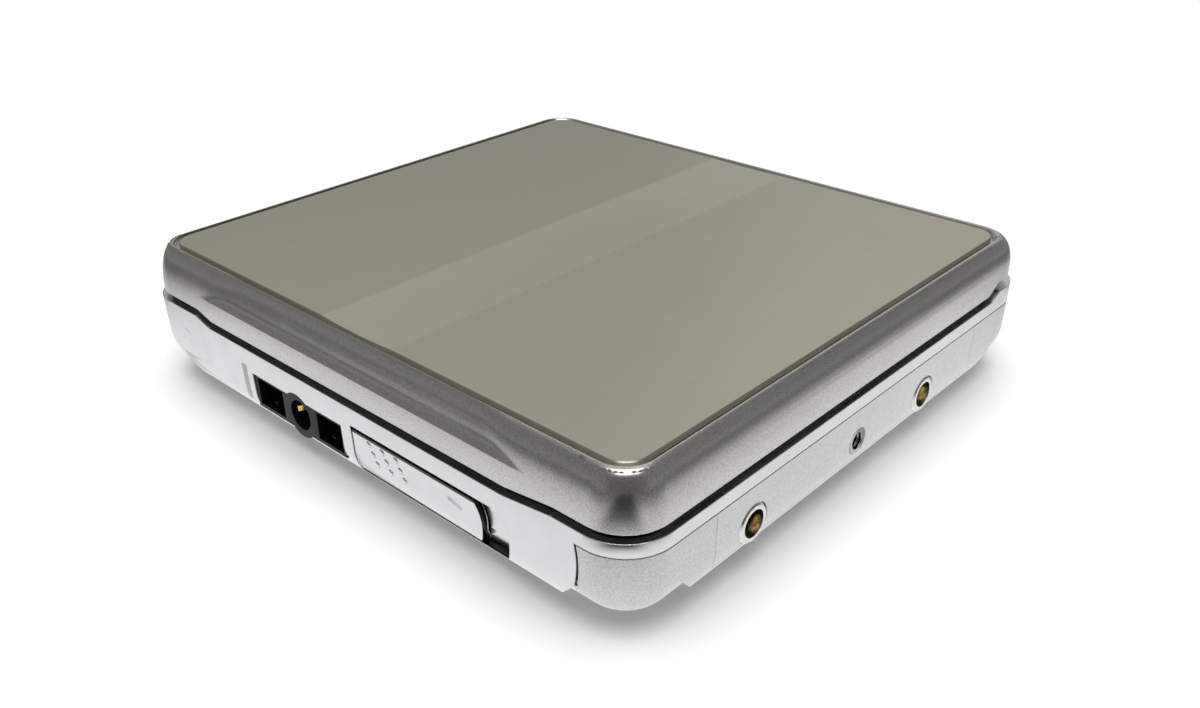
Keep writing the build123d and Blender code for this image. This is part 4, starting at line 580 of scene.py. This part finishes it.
def lid_depth(settings, top, y, z, share):
    """How far the wall is inside the lid's outline at one height, with its share of the flute."""
    height = min(0.999, max(0.0, (z - settings.foot) / (top - settings.foot)))
    fuller = settings.width * (1 - math.sqrt(1 - height * height))
    kept = 1 - ease((y - settings.fade_start) / (settings.fade_end - settings.fade_start))
    plain = fuller * kept + read_off(CAD_WALL, z) * (1 - kept)
    return plain + (read_off(FLUTE, z) - plain) * share


def cut_wall(work, settings, top, half_x, half_y):
    """Cut the lid's outer faces by height, and across the flute's ends."""
    count = int((top - settings.foot) / LEVEL_STEP) + 1
    levels = [settings.foot + step * LEVEL_STEP for step in range(count)]
    for level in (*levels, *(top - below for below in TOP_CUTS)):
        slice_outside(work, (0, 0, level), (0, 0, 1), half_x, half_y, settings.fade_end)
    for side in (-1, 1):
        for cut in END_CUTS:
            place = (side * (settings.flute_end + cut), 0, 0)
            slice_outside(work, place, (1, 0, 0), half_x, half_y, -0.034)
    bmesh.ops.triangulate(work, faces=[face for face in work.faces if len(face.verts) > 3])


def slice_outside(work, point, normal, half_x, half_y, limit):
    """Cut along a plane those outer faces of the lid whose y is below the limit."""
    near = 0.002
    foot = 0.0105
    faces = []
    for face in work.faces:
        middle = face.calc_center_median()
        outside = abs(middle.x) > half_x - near or abs(middle.y) > half_y - near
        if outside and middle.y < limit and middle.z > foot:
            faces.append(face)
    edges = {edge for face in faces for edge in face.edges}
    corners = {vertex for face in faces for vertex in face.verts}
    bmesh.ops.bisect_plane(work, geom=[*faces, *edges, *corners], dist=1e-7, plane_co=point, plane_no=normal)


def lean_wall(work, settings, top, half_x, half_y):
    """Move the wall's vertices to the new rounding; gives the rounding's normal at each."""
    near = 0.00001
    skin = {}
    step = 0.00004
    for vertex in work.verts:
        x, y, z = vertex.co
        if z < settings.foot or y > settings.fade_end:
            continue
        depth, way = depth_and_way(x, y, half_x, half_y, settings.corner)
        flat_top = z > top - near
        on_edge = flat_top and depth < settings.width + 2 * near
        on_wall = on_edge or abs(depth - read_off(CAD_WALL, z)) < 3 * near
        in_flute = abs(x) < settings.flute_end + 0.0001 and z > FLUTE_FOOT - near and y < FLUTE_DEPTH - half_y
        in_flute = in_flute and vertex.normal.y < -0.2 and vertex.normal.z > -0.35
        if not (on_wall or in_flute):
            continue
        on_front = in_flute or (way[1] < -0.999 and y < 0)
        before, here, after = (flute_share(settings, at, z) * on_front for at in (x - step, x, x + step))
        # the flat top keeps its place: only its outer edge moves in
        new = max(depth, settings.width - 2 * near) if flat_top else lid_depth(settings, top, y, z, here)
        vertex.co.x -= way[0] * (new - depth)
        vertex.co.y -= way[1] * (new - depth)
        above, below = (lid_depth(settings, top, y, z + rise, here) for rise in (step, -step))
        right, left = (lid_depth(settings, top, y, z, share) for share in (after, before))
        slope = (right - left) / (2 * step)
        lean = 9.0 if flat_top else (above - below) / (2 * step)
        skin[vertex] = Vector((way[0] + slope * settings.flute_shade, way[1], lean)).normalized()
    return skin


def round_the_lid(settings, finish):
    """The lid's shell with a fuller rounding and with the finger flute blended into it."""
    low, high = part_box("lid_shell")
    top = high[2]
    half_x = high[0]
    half_y = -low[1]
    work = bmesh.new()
    work.from_mesh(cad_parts["lid_shell"].data)
    bmesh.ops.remove_doubles(work, verts=work.verts, dist=2e-6)
    cut_wall(work, settings, top, half_x, half_y)
    work.normal_update()
    skin = lean_wall(work, settings, top, half_x, half_y)
    work.normal_update()
    # the rounding's own normals where a whole face lies on it, and plain ones elsewhere
    normals = []
    for face in work.faces:
        face.smooth = True
        known = [skin.get(vertex) for vertex in face.verts]
        whole = all(known) and all(normal.dot(face.normal) > 0.6 for normal in known)
        level = face.normal.z > 0.999
        normals += [Vector((0.0, 0.0, 1.0)) if level else (normal if whole else Vector()) for normal in known]
    mesh = mesh_from("lid_skin", work)
    mesh.set_sharp_from_angle(angle=math.radians(24))
    mesh.normals_split_custom_set(normals)
    mesh.materials.append(finish.material)
    return link_object("lid_skin", mesh)


# ---------- small raised marks
def front_surface(node):
    """A function that gives the y of a node's front face at one x and z."""
    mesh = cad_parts[node].data
    faces = [face.vertices for face in mesh.polygons]
    tree = BVHTree.FromPolygons([vertex.co for vertex in mesh.vertices], faces)

    def level(x, z):
        hit = tree.ray_cast(Vector((x, 2 * FRONT, z)), Vector((0.0, 1.0, 0.0)))[0]
        return hit.y if hit else FRONT

    return level


def ribbon(name, lines, width, height, level, finish):
    """Raised line work on a surface that faces -Y: each line is a list of (x, z) points, in metres."""
    section = ((-1.0, 0.0), (-0.35, 1.0), (0.35, 1.0), (1.0, 0.0))
    work = bmesh.new()
    for line in lines:
        points = [Vector(point) for point in line]
        ways = [(after - here).normalized() for here, after in zip(points, points[1:])]
        rows = []
        for here, way_in, way_out in zip(points, (ways[0], *ways), (*ways, ways[-1])):
            side_in = Vector((-way_in.y, way_in.x))
            side = (side_in + Vector((-way_out.y, way_out.x))).normalized()
            reach = min(width / 2 / max(side.dot(side_in), 0.35), width)
            row = []
            for share, lift in section:
                spot = here + side * reach * share
                row.append(work.verts.new((spot.x, level(here.x, here.y) - height * lift, spot.y)))
            rows.append(row)
        join_rows(work, rows, closed=False, ends=(0,))
        work.faces.new(rows[-1][::-1])
    return piece_from(name, work, finish)


def raised_outline(name, outline, slope, height, level, finish):
    """A raised flat shape with sloping sides on a surface that faces -Y; the outline is a list of (x, z)."""
    sunk = 0.00002
    middle = sum((Vector(point) for point in outline), Vector((0.0, 0.0))) / len(outline)
    work = bmesh.new()
    foot = []
    crest = []
    for x, z in outline:
        inward = (middle - Vector((x, z))).normalized() * slope
        foot.append(work.verts.new((x, level(x, z) + sunk, z)))
        crest.append(work.verts.new((x + inward.x, level(x, z) - height, z + inward.y)))
    join_rows(work, [foot, crest])
    return piece_from(name, work, finish)


def domed_studs(name, places, radius, height, level, finish):
    """Low round studs with a soft foot on a surface that faces -Y, one at each (x, z)."""
    dome = ((0.0, 1.0), (0.22, 0.9), (0.55, 0.74), (0.8, 0.52), (0.95, 0.27))
    profile = [(height * rise, radius * share) for rise, share in dome]
    work = bmesh.new()
    for x, z in places:
        base = level(x, z)
        rings = turned_rings(work, profile, 20, lambda rise, across, up: (x + across, base - rise, z + up))
        join_rows(work, rings, ends=(0,))
        crown = work.verts.new((x, base - height, z))
        for first, second in zip(rings[-1], (*rings[-1][1:], rings[-1][0])):
            work.faces.new((first, second, crown))
    for face in work.faces:
        face.smooth = len(face.verts) < 5
    return piece_from(name, work, finish)


def arc_points(centre, radius, start, end, steps):
    """Points of an arc between two angles in degrees."""
    turns = [math.radians(start + (end - start) * step / steps) for step in range(steps + 1)]
    return [(centre[0] + radius * math.cos(turn), centre[1] + radius * math.sin(turn)) for turn in turns]


# ---------- contacts and fasteners
def turned_pins(name, places, profile, finish):
    """Turned pins along X, one from each place: the profile is a list of (distance, radius), in metres."""
    work = bmesh.new()
    for x, y, z in places:
        rings = turned_rings(work, profile, 28, lambda rise, across, up: (x + rise, y + across, z + up))
        join_rows(work, rings)
    return piece_from(name, work, finish)


def bent_leaf(name, jack, width, finish):
    """A sprung leaf on the left wall of a bore along Y, bowed towards the bore's axis."""
    steps = 12
    thickness = 0.00012
    length = 0.0019
    start = 0.0007
    gap = 0.00016
    bow = 0.00042
    drop = 0.0001
    work = bmesh.new()
    rows = []
    for step in range(steps + 1):
        share = step / steps
        x = jack["x"] - jack["radius"] + gap + bow * math.sin(math.pi * share)
        y = jack["y"] + start + length * share
        row = []
        for side, end in ((-1, -1), (-1, 1), (1, 1), (1, -1)):
            row.append(work.verts.new((x + side * thickness / 2, y, jack["z"] - drop + end * width / 2)))
        rows.append(row)
    join_rows(work, rows)
    return piece_from(name, work, finish)


def shaded_recess_cross(name, places, reach, width, depth, down, finish):
    """Dark thin crosses with sloping walls on screw heads: painted shade standing in for the heads' cross
    recesses.
    """
    narrower = 0.82
    higher = 1.6
    way = -1.0 if down else 1.0
    outline = []
    for turn in range(4):
        cosine = math.cos(math.pi / 2 * turn)
        sine = math.sin(math.pi / 2 * turn)
        for x, y in ((reach, -width), (reach, width), (width, width)):
            outline.append((x * cosine - y * sine, x * sine + y * cosine))
    work = bmesh.new()
    for x, y, z in places:
        rows = []
        for share, lift in ((1.0, 1.0), (narrower, higher)):
            height = z + way * depth * lift
            rows.append([work.verts.new((x + a * share, y + b * share, height)) for a, b in outline])
        join_rows(work, rows, ends=(-1,))
    return piece_from(name, work, finish)


def solid_boxes(node):
    """Low and high corner of each separate solid in a CAD node."""
    work = bmesh.new()
    work.from_mesh(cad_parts[node].data)
    bmesh.ops.remove_doubles(work, verts=work.verts, dist=1e-7)
    pending = set(work.verts)
    boxes = []
    while pending:
        found = [pending.pop()]
        # the list grows while it is walked, until no neighbour is left
        for vertex in found:
            for edge in vertex.link_edges:
                other = edge.other_vert(vertex)
                if other in pending:
                    pending.remove(other)
                    found.append(other)
        places = list(zip(*(vertex.co for vertex in found)))
        boxes.append(([min(values) for values in places], [max(values) for values in places]))
    work.free()
    return boxes


# ---------- operators
class PLAYER_OT_finish_shell(bpy.types.Operator):
    """Finish the rim, front panel, bottom shell, side panel and battery door"""

    bl_idname = "player.finish_shell"
    bl_label = "Finish shell"

    def execute(self, context):
        settings = context.scene.player_shell
        bright = bright_metal("bright_metal", settings.bright, settings.bright_roughness)
        slider = bright_metal("slider_metal", settings.bright, settings.bright_roughness)
        low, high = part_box("open_slider")
        # painted shade: the slider's upper and right faces and a strip along its top edge are painted black,
        # standing for the shadowed gap around it
        slider.shadow_edges(high[2])
        # painted shade: the slot's floor is painted black, from just behind the front and on past the
        # slider's travel, as it lies in shadow
        inset = 0.0002
        past = 0.005
        foot = 0.0015
        rise = 0.0015
        bright.shadow_floor((low[0], FRONT + inset, foot), (high[0] + past, 0.0, low[2] + rise))
        bright.cover("front_frame")
        slider.cover("open_slider")
        for name, roughness, nodes in (
            ("satin_case", settings.satin_roughness, ("bottom_shell", "battery_door")),
            ("satin_panel", settings.satin_roughness - 0.04, ("side_panel",)),
        ):
            flaked_metal(name, settings.satin, roughness, settings.grain).cover(*nodes)
        for name in ("front_frame", "open_slider"):
            soften_edges(name, settings.edge)
        return {"FINISHED"}


class PLAYER_OT_finish_lid(bpy.types.Operator):
    """Finish the lid's shell, its top plate and its dark inner frame"""

    bl_idname = "player.finish_lid"
    bl_label = "Finish lid"

    def execute(self, context):
        settings = context.scene.player_shell
        satin = flaked_metal("satin_lid_metal", settings.lid, settings.lid_roughness, settings.grain)
        satin.cover("lid_shell")
        skin = round_the_lid(context.scene.player_lid, satin)
        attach(skin, "lid")
        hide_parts("lid_shell")
        brushed_plate(context.scene.player_plate).cover("top_plate")
        moulded_plastic("seam_plastic", (0.055, 0.055, 0.06), 0.45).cover("lid_frame")
        return {"FINISHED"}


class PLAYER_OT_finish_socket(bpy.types.Operator):
    """Finish the earphone socket, its contacts and the indicator strip"""

    bl_idname = "player.finish_socket"
    bl_label = "Finish socket"

    def execute(self, context):
        black = moulded_plastic("socket_plastic", (0.004, 0.004, 0.0045), 0.36)
        black.set("Specular IOR Level", 0.2)
        black.cover("socket_housing")
        moulded_plastic("frosted_lens", (0.78, 0.79, 0.72), 0.3).cover("indicator_lens")
        gilt_metal("contact_gilt", (0.78, 0.56, 0.22), 0.2).cover("socket_contacts")
        return {"FINISHED"}


class PLAYER_OT_finish_terminals(bpy.types.Operator):
    """Finish the two charging terminals and the fixing bush between them"""

    bl_idname = "player.finish_terminals"
    bl_label = "Finish terminals"

    def execute(self, context):
        gilt_metal("sleeve_plating", (0.74, 0.73, 0.7), 0.14).cover("terminal_sleeves")
        gilt_metal("terminal_gilt", (0.85, 0.6, 0.2), 0.24).cover("terminal_contacts")
        threaded_steel("bush_steel", (0.42, 0.41, 0.4), 0.00045, BUSH_AXIS).cover("fixing_bush")
        return {"FINISHED"}


class PLAYER_OT_add_contacts(bpy.types.Operator):
    """Put a sprung plunger in each charging terminal and a bent leaf in the earphone socket"""

    bl_idname = "player.add_contacts"
    bl_label = "Add contacts"

    head: metres("Plunger head", "Radius of a plunger's head", 0.00085)
    neck: metres("Plunger neck", "Radius of a plunger's neck", 0.00045)
    leaf_width: metres("Leaf width", "Width of the bent leaf", 0.0007)

    def execute(self, context):
        gilt = gilt_metal("plunger_gilt", (0.9, 0.62, 0.2), 0.2)
        profile = ((0.0, self.neck), (0.0016, self.neck), (0.0017, self.head), (0.0023, self.head))
        dome = ((0.00245, 0.93 * self.head), (0.00255, 0.75 * self.head), (0.0026, 0.4 * self.head))
        sunk = 0.00001
        places = []
        for low, high in solid_boxes("terminal_contacts"):
            places.append((high[0] - sunk, (low[1] + high[1]) / 2, (low[2] + high[2]) / 2))
        plungers = turned_pins("contact_plungers", places, (*profile, *dome), gilt)
        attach(plungers, "case")
        leaf = bent_leaf("jack_leaf", JACK, self.leaf_width, gilt)
        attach(leaf, "case")
        return {"FINISHED"}


class PLAYER_OT_finish_keys(bpy.types.Operator):
    """Finish the operating keys, the hold switch and what is behind them"""

    bl_idname = "player.finish_keys"
    bl_label = "Finish keys"

    def execute(self, context):
        settings = context.scene.player_shell
        darker = [channel * 0.9 for channel in settings.satin]
        flaked_metal("key_silver", darker, 0.28, settings.grain).cover("stop_key", "play_key", "skip_key")
        moulded_plastic("switch_plastic", (0.02, 0.02, 0.022), 0.4).cover("hold_switch")
        moulded_plastic("tact_plastic", (0.04, 0.04, 0.04), 0.4).cover("key_switches")
        return {"FINISHED"}


class PLAYER_OT_finish_holder(bpy.types.Operator):
    """Finish the disc holder, its pins and brackets, the catches, the latch and the hinge pins"""

    bl_idname = "player.finish_holder"
    bl_label = "Finish holder"

    def execute(self, context):
        sheet_steel("holder_steel", (0.66, 0.67, 0.68), 0.42).cover("disc_holder")
        spring = sheet_steel("spring_steel", (0.55, 0.54, 0.52), 0.28, (0.03, 1.0, 1.0))
        spring.cover("pivot_brackets", "pivot_pins", "hinge_pins", "lid_catches")
        spring.cover("latch_plate", "slider_spring", "door_pin")
        return {"FINISHED"}


class PLAYER_OT_finish_deck(bpy.types.Operator):
    """Finish the deck, its soft mounts, the spindle motor and the turntable"""

    bl_idname = "player.finish_deck"
    bl_label = "Finish deck"

    def execute(self, context):
        sheet_steel("deck_steel", (0.62, 0.63, 0.64), 0.45).cover("deck", "spindle_motor", "spindle_rotor")
        moulded_plastic("damper_rubber", (0.03, 0.03, 0.03), 0.7).cover("deck_dampers")
        moulded_plastic("turntable_plastic", (0.06, 0.06, 0.065), 0.35).cover("turntable")
        sheet_steel("magnet_face", (0.3, 0.3, 0.31), 0.4).cover("clamp_magnet")
        return {"FINISHED"}


class PLAYER_OT_finish_drive(bpy.types.Operator):
    """Finish the pickup, its rods, the lead screw, the gears and the feed motor"""

    bl_idname = "player.finish_drive"
    bl_label = "Finish drive"

    thread_pitch: metres("Thread pitch", "From one turn of the lead screw's thread to the next", 0.001)

    def execute(self, context):
        along_x = (0.02, 1.0, 1.0)
        sheet_steel("ground_steel", (0.68, 0.68, 0.69), 0.16, along_x).cover("guide_rods", "motor_spindle")
        threaded_steel("lead_screw_steel", (0.6, 0.6, 0.6), self.thread_pitch, SCREW_AXIS).cover("lead_screw")
        sheet_steel("motor_can", (0.55, 0.55, 0.56), 0.24, (0.03, 1.0, 1.0)).cover("feed_motor")
        flaked_metal("die_cast_zinc", (0.33, 0.33, 0.34), 0.45, 0.0002).cover("pickup_base")
        sheet_steel("magnet_block", (0.2, 0.2, 0.21), 0.4).cover("focus_magnets")
        moulded_plastic("white_nylon", (0.7, 0.69, 0.64), 0.4).cover("screw_gear", "screw_follower")
        gilt_metal("pinion_brass", (0.72, 0.55, 0.25), 0.25).cover("motor_pinion")
        moulded_plastic("drive_plastic", (0.03, 0.03, 0.032), 0.42).cover("rod_cradles", "lens_holder")
        lens_coating("objective_glass", (0.35, 0.4, 0.75)).cover("objective_lens")
        return {"FINISHED"}


class PLAYER_OT_finish_board(bpy.types.Operator):
    """Finish the circuit boards, the chips, the battery and its contacts"""

    bl_idname = "player.finish_board"
    bl_label = "Finish boards and battery"

    def execute(self, context):
        board_mask("board_mask", (0.02, 0.11, 0.05)).cover("main_board", "key_board")
        moulded_plastic("chip_resin", (0.015, 0.015, 0.016), 0.5).cover("board_chips")
        flaked_metal("battery_wrap", (0.2, 0.22, 0.25), 0.35, 0.0002).cover("battery")
        gilt_metal("battery_gilt", (0.7, 0.65, 0.55), 0.25).cover("battery_contacts")
        return {"FINISHED"}


class PLAYER_OT_add_screw_details(bpy.types.Operator):
    """Finish the screws and put a dark cross on each visible head, painted shade for its cross recess"""

    bl_idname = "player.add_screw_details"
    bl_label = "Add screw recesses"

    reach: metres("Recess reach", "Half length of one bar of the cross", 0.00075)
    width: metres("Recess width", "Half width of one bar of the cross", 0.00016)
    depth: metres("Recess lift", "Thickness of the recess piece", 0.00002)

    def execute(self, context):
        sheet_steel("black_steel", (0.05, 0.05, 0.055), 0.35).cover("case_screws")
        sheet_steel("plated_screw", (0.5, 0.5, 0.5), 0.25).cover("deck_screws")
        # painted shade: thin dark crosses stand for the shadow inside the heads' cross recesses
        shadow = moulded_plastic("recess_shadow", (0.008, 0.008, 0.008), 0.7)
        for node, name, down in (
            ("case_screws", "case_screw_recesses", True),
            ("deck_screws", "deck_screw_recesses", False),
        ):
            places = []
            for low, high in solid_boxes(node):
                places.append(((low[0] + high[0]) / 2, (low[1] + high[1]) / 2, low[2] if down else high[2]))
            piece = shaded_recess_cross(name, places, self.reach, self.width, self.depth, down, shadow)
            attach(piece, "case")
        return {"FINISHED"}


class PLAYER_OT_add_marks(bpy.types.Operator):
    """Raise the grip studs and the arrow on the slider and the earphone symbol on the front panel"""

    bl_idname = "player.add_marks"
    bl_label = "Add raised marks"

    def execute(self, context):
        marks = context.scene.player_marks
        finish = bright_metal("mark_metal", context.scene.player_shell.bright, 0.12)
        slider_face = front_surface("open_slider")
        half = marks.arrow_width / 2
        base_x = marks.arrow_x - marks.arrow_length
        # the tip is a little below the middle
        tip = (marks.arrow_x, marks.arrow_z - 0.2 * half)
        corners = ((base_x, marks.arrow_z - half), tip, (base_x, marks.arrow_z + half))
        arrow = raised_outline("open_arrow", corners, marks.line, marks.arrow_relief, slider_face, finish)
        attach(arrow, "slider")
        places = []
        for row in range(3):
            for column in range(3):
                x = marks.stud_x + column * marks.stud_column + row * marks.stud_slant
                places.append((x, marks.stud_z - row * marks.stud_row))
        studs = domed_studs("grip_studs", places, marks.stud_radius, marks.stud_height, slider_face, finish)
        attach(studs, "slider")

        # a band over the head, with a cup hanging at each end
        radius = marks.symbol_radius
        lines = [arc_points((marks.symbol_x, marks.symbol_z), radius, -30, 210, 16)]
        for side in (-1, 1):
            x = marks.symbol_x + side * radius
            lines.append([(x, marks.symbol_z - 0.55 * radius), (x, marks.symbol_z - 1.35 * radius)])
        panel_face = front_surface("front_frame")
        symbol = ribbon("earphone_symbol", lines, marks.line, marks.relief, panel_face, finish)
        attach(symbol, "case")
        return {"FINISHED"}


class PLAYER_OT_set_stage(bpy.types.Operator):
    """Lay the pale floor, light the room, hang the softbox and stand the camera"""

    bl_idname = "player.set_stage"
    bl_label = "Set stage"

    def execute(self, context):
        studio = context.scene.player_studio
        lay_floor()
        light_room(studio.sky)
        hang_softbox("overhead_softbox", (0.15, -0.12, 0.6), 0.5, studio.key_power)
        stand_camera(studio)
        context.scene.view_settings.view_transform = "Standard"
        return {"FINISHED"}


# ---------- the studio
# ways on the plan, from the player to a side of the room
NEAR_CORNER = (0.68, -0.73, 0.0)
FAR_WALL = (-0.68, 0.73, 0.0)
WINDOW = (-0.35, 0.937, 0.0)

# the room as the player mirrors it: a direction's height and the tone there
ROOM_TONES = ((0.0, 0.28), (0.15, 0.22), (0.4, 0.19), (0.75, 0.19), (0.84, 0.34), (0.92, 0.6), (1.0, 0.7))
WALL_TONES = ((0.12, (0.34, 0.34, 0.32)), (0.7, (0.62, 0.61, 0.58)))
CORNER_TONES = ((0.66, (0.12, 0.11, 0.105)), (0.84, 0.7))
WINDOW_LIGHT = (0.16, 0.16, 0.14, 1.0)

# the floor's painted glow as the player mirrors it, a painted pool of light: a share of FLOOR_REACH away from
# the player and the tone there
FLOOR_REACH = 0.1
FLOOR_TONES = ((0.05, 1.0), (0.12, 0.92), (0.22, 0.76), (0.35, 0.58), (0.5, 0.36), (0.75, 0.2), (1.0, 0.16))
FLOOR_PAPER = (0.86, 0.86, 0.86, 1.0)
FLOOR_GLOW = 0.52  # brings the paper up to white for the camera
FLOOR_SIZE = 3.0


def fresh_nodes(owner):
    """The emptied node tree of a material or a world."""
    owner.use_nodes = True
    owner.node_tree.nodes.clear()
    return Nodes(owner.node_tree)


def lay_floor():
    """A pale floor that shows white to the camera and keeps the player's shadow, with painted contact shade
    near the player and a painted pool of light that metal mirrors.
    """
    work = bmesh.new()
    bmesh.ops.create_grid(work, x_segments=2, y_segments=2, size=FLOOR_SIZE)
    floor = link_object("floor", mesh_from("floor", work))
    material = bpy.data.materials.new("floor_paper")
    floor.data.materials.append(material)
    nodes = fresh_nodes(material)
    # painted shade: the glow fades with ambient occlusion under the player and close to it, so that the
    # lamps' shadow stays and a painted contact shade darkens the floor round it
    near = nodes.node("ShaderNodeAmbientOcclusion", {"Distance": 0.012}, samples=8).outputs["AO"]
    clear = nodes.spread(near, 0.0, FLOOR_GLOW, 0.3, 0.92, smooth=True)
    white = nodes.maths("MULTIPLY", nodes.seen_directly(), clear)
    glow = nodes.node("ShaderNodeEmission", {"Strength": white}).outputs["Emission"]
    paper = nodes.node("ShaderNodeBsdfDiffuse", {"Color": FLOOR_PAPER}).outputs["BSDF"]
    seen = nodes.node("ShaderNodeAddShader", {0: paper, 1: glow}).outputs["Shader"]
    # painted light and reflection: to glossy rays the paper glows bright beside the player and fades off,
    # soonest in front of the near corner, where it is painted dark
    place = nodes.node("ShaderNodeTexCoord").outputs["Object"]
    beyond = nodes.vectors("SUBTRACT", nodes.vectors("ABSOLUTE", place), (cad_box[1][0], cad_box[1][1], 0.0))
    away = nodes.vectors("LENGTH", nodes.vectors("MAXIMUM", beyond, (0.0, 0.0, 0.0)))
    fall = nodes.ramp(nodes.maths("DIVIDE", away, FLOOR_REACH), *FLOOR_TONES)
    corner = nodes.sector(place, NEAR_CORNER, 0.955, 0.992)
    dimmed = nodes.maths("MULTIPLY", corner, nodes.spread(away, 0.0, 0.9, 0.008, 0.026))
    lit = nodes.maths("MULTIPLY", fall, nodes.maths("SUBTRACT", 1.0, dimmed))
    mirrored = nodes.node("ShaderNodeEmission", {"Strength": lit}).outputs["Emission"]
    glossy = nodes.node("ShaderNodeLightPath").outputs["Is Glossy Ray"]
    surface = nodes.node("ShaderNodeMixShader", {0: glossy, 1: seen, 2: mirrored}).outputs["Shader"]
    nodes.node("ShaderNodeOutputMaterial", {"Surface": surface})


def light_room(strength):
    """A white room seen directly; what the player mirrors is darker, with a paler wall and a dark corner."""
    world = bpy.data.worlds.new("white_room")
    bpy.context.scene.world = world
    nodes = fresh_nodes(world)
    way = nodes.node("ShaderNodeTexCoord").outputs["Generated"]
    height = nodes.split(way)["Z"]
    room = nodes.ramp(height, *ROOM_TONES)
    window = nodes.sector(way, WINDOW, 0.93, 1.0)
    wall = nodes.blend(window, nodes.ramp(height, *WALL_TONES), WINDOW_LIGHT, "ADD")
    room = nodes.blend(nodes.sector(way, FAR_WALL, 0.72, 0.94), room, wall)
    room = nodes.blend(nodes.sector(way, NEAR_CORNER, 0.6, 0.92), room, nodes.ramp(height, *CORNER_TONES))
    seen = nodes.seen_directly()
    inputs = {
        "Color": nodes.blend(seen, room, (1.0, 1.0, 1.0, 1.0)),
        "Strength": nodes.spread(seen, strength, 1.0, 0.0, 1.0),
    }
    background = nodes.node("ShaderNodeBackground", inputs)
    nodes.node("ShaderNodeOutputWorld", {"Surface": background.outputs["Background"]})


def hang_softbox(name, place, size, power):
    """One square area lamp that faces the origin."""
    lamp = bpy.data.lights.new(name, "AREA")
    lamp.shape = "RECTANGLE"
    lamp.size = size
    lamp.size_y = size
    lamp.energy = power
    holder = link_object(name, lamp)
    holder.location = place
    holder.rotation_euler = (-Vector(place)).to_track_quat("-Z", "Y").to_euler()


def stand_camera(studio):
    """The camera looks at the near right corner from above, a little rolled."""
    flat = math.cos(studio.elevation)
    back = Vector(
        (math.sin(studio.azimuth) * flat, -math.cos(studio.azimuth) * flat, math.sin(studio.elevation))
    )
    level_right = (-back).cross(Vector((0.0, 0.0, 1.0))).normalized()
    level_up = level_right.cross(-back)
    turn = math.cos(studio.roll)
    tilt = math.sin(studio.roll)
    right = turn * level_right + tilt * level_up
    up = turn * level_up - tilt * level_right
    place = back * studio.distance + right * studio.right + up * studio.up
    lens = bpy.data.cameras.new("studio_camera")
    lens.lens = studio.lens
    lens.sensor_width = 36.0
    lens.sensor_fit = "HORIZONTAL"
    lens.clip_start = 0.005
    lens.clip_end = 20.0
    camera = link_object("studio_camera", lens)
    camera.matrix_world = Matrix.Translation(place) @ Matrix((right, up, back)).transposed().to_4x4()
    bpy.context.scene.camera = camera


# ---------- panel and registration
STEPS = (
    PLAYER_OT_finish_shell,
    PLAYER_OT_finish_lid,
    PLAYER_OT_finish_socket,
    PLAYER_OT_finish_terminals,
    PLAYER_OT_add_contacts,
    PLAYER_OT_finish_keys,
    PLAYER_OT_finish_holder,
    PLAYER_OT_finish_deck,
    PLAYER_OT_finish_drive,
    PLAYER_OT_finish_board,
    PLAYER_OT_add_screw_details,
    PLAYER_OT_add_marks,
    PLAYER_OT_set_stage,
)

GROUPS = (
    ("player_shell", ShellFinishSettings, "Shell"),
    ("player_lid", LidSettings, "Lid"),
    ("player_plate", PlateFinishSettings, "Top plate"),
    ("player_marks", MarkSettings, "Marks"),
    ("player_studio", StudioSettings, "Studio"),
)


class PLAYER_PT_sidebar(bpy.types.Panel):
    """The player's steps and settings"""

    bl_idname = "PLAYER_PT_sidebar"
    bl_label = "Disc player"
    bl_space_type = "VIEW_3D"
    bl_region_type = "UI"
    bl_category = "Disc player"

    def draw(self, context):
        for step in STEPS:
            self.layout.operator(step.bl_idname)
        for attribute, group, title in GROUPS:
            box = self.layout.box()
            box.label(text=title)
            for name in group.__annotations__:
                box.prop(getattr(context.scene, attribute), name)


def register():
    """Register the settings, the steps and the panel."""
    for attribute, group, _ in GROUPS:
        bpy.utils.register_class(group)
        setattr(bpy.types.Scene, attribute, bpy.props.PointerProperty(type=group))
    for step in STEPS:
        bpy.utils.register_class(step)
    bpy.utils.register_class(PLAYER_PT_sidebar)


def unregister():
    """Undo register, in the opposite order."""
    bpy.utils.unregister_class(PLAYER_PT_sidebar)
    for step in reversed(STEPS):
        bpy.utils.unregister_class(step)
    for attribute, group, _ in reversed(GROUPS):
        delattr(bpy.types.Scene, attribute)
        bpy.utils.unregister_class(group)


def main():
    """Build the whole scene."""
    register()
    for step in STEPS:
        family, action = step.bl_idname.split(".")
        getattr(getattr(bpy.ops, family), action)()


if __name__ == "__main__":
    main()
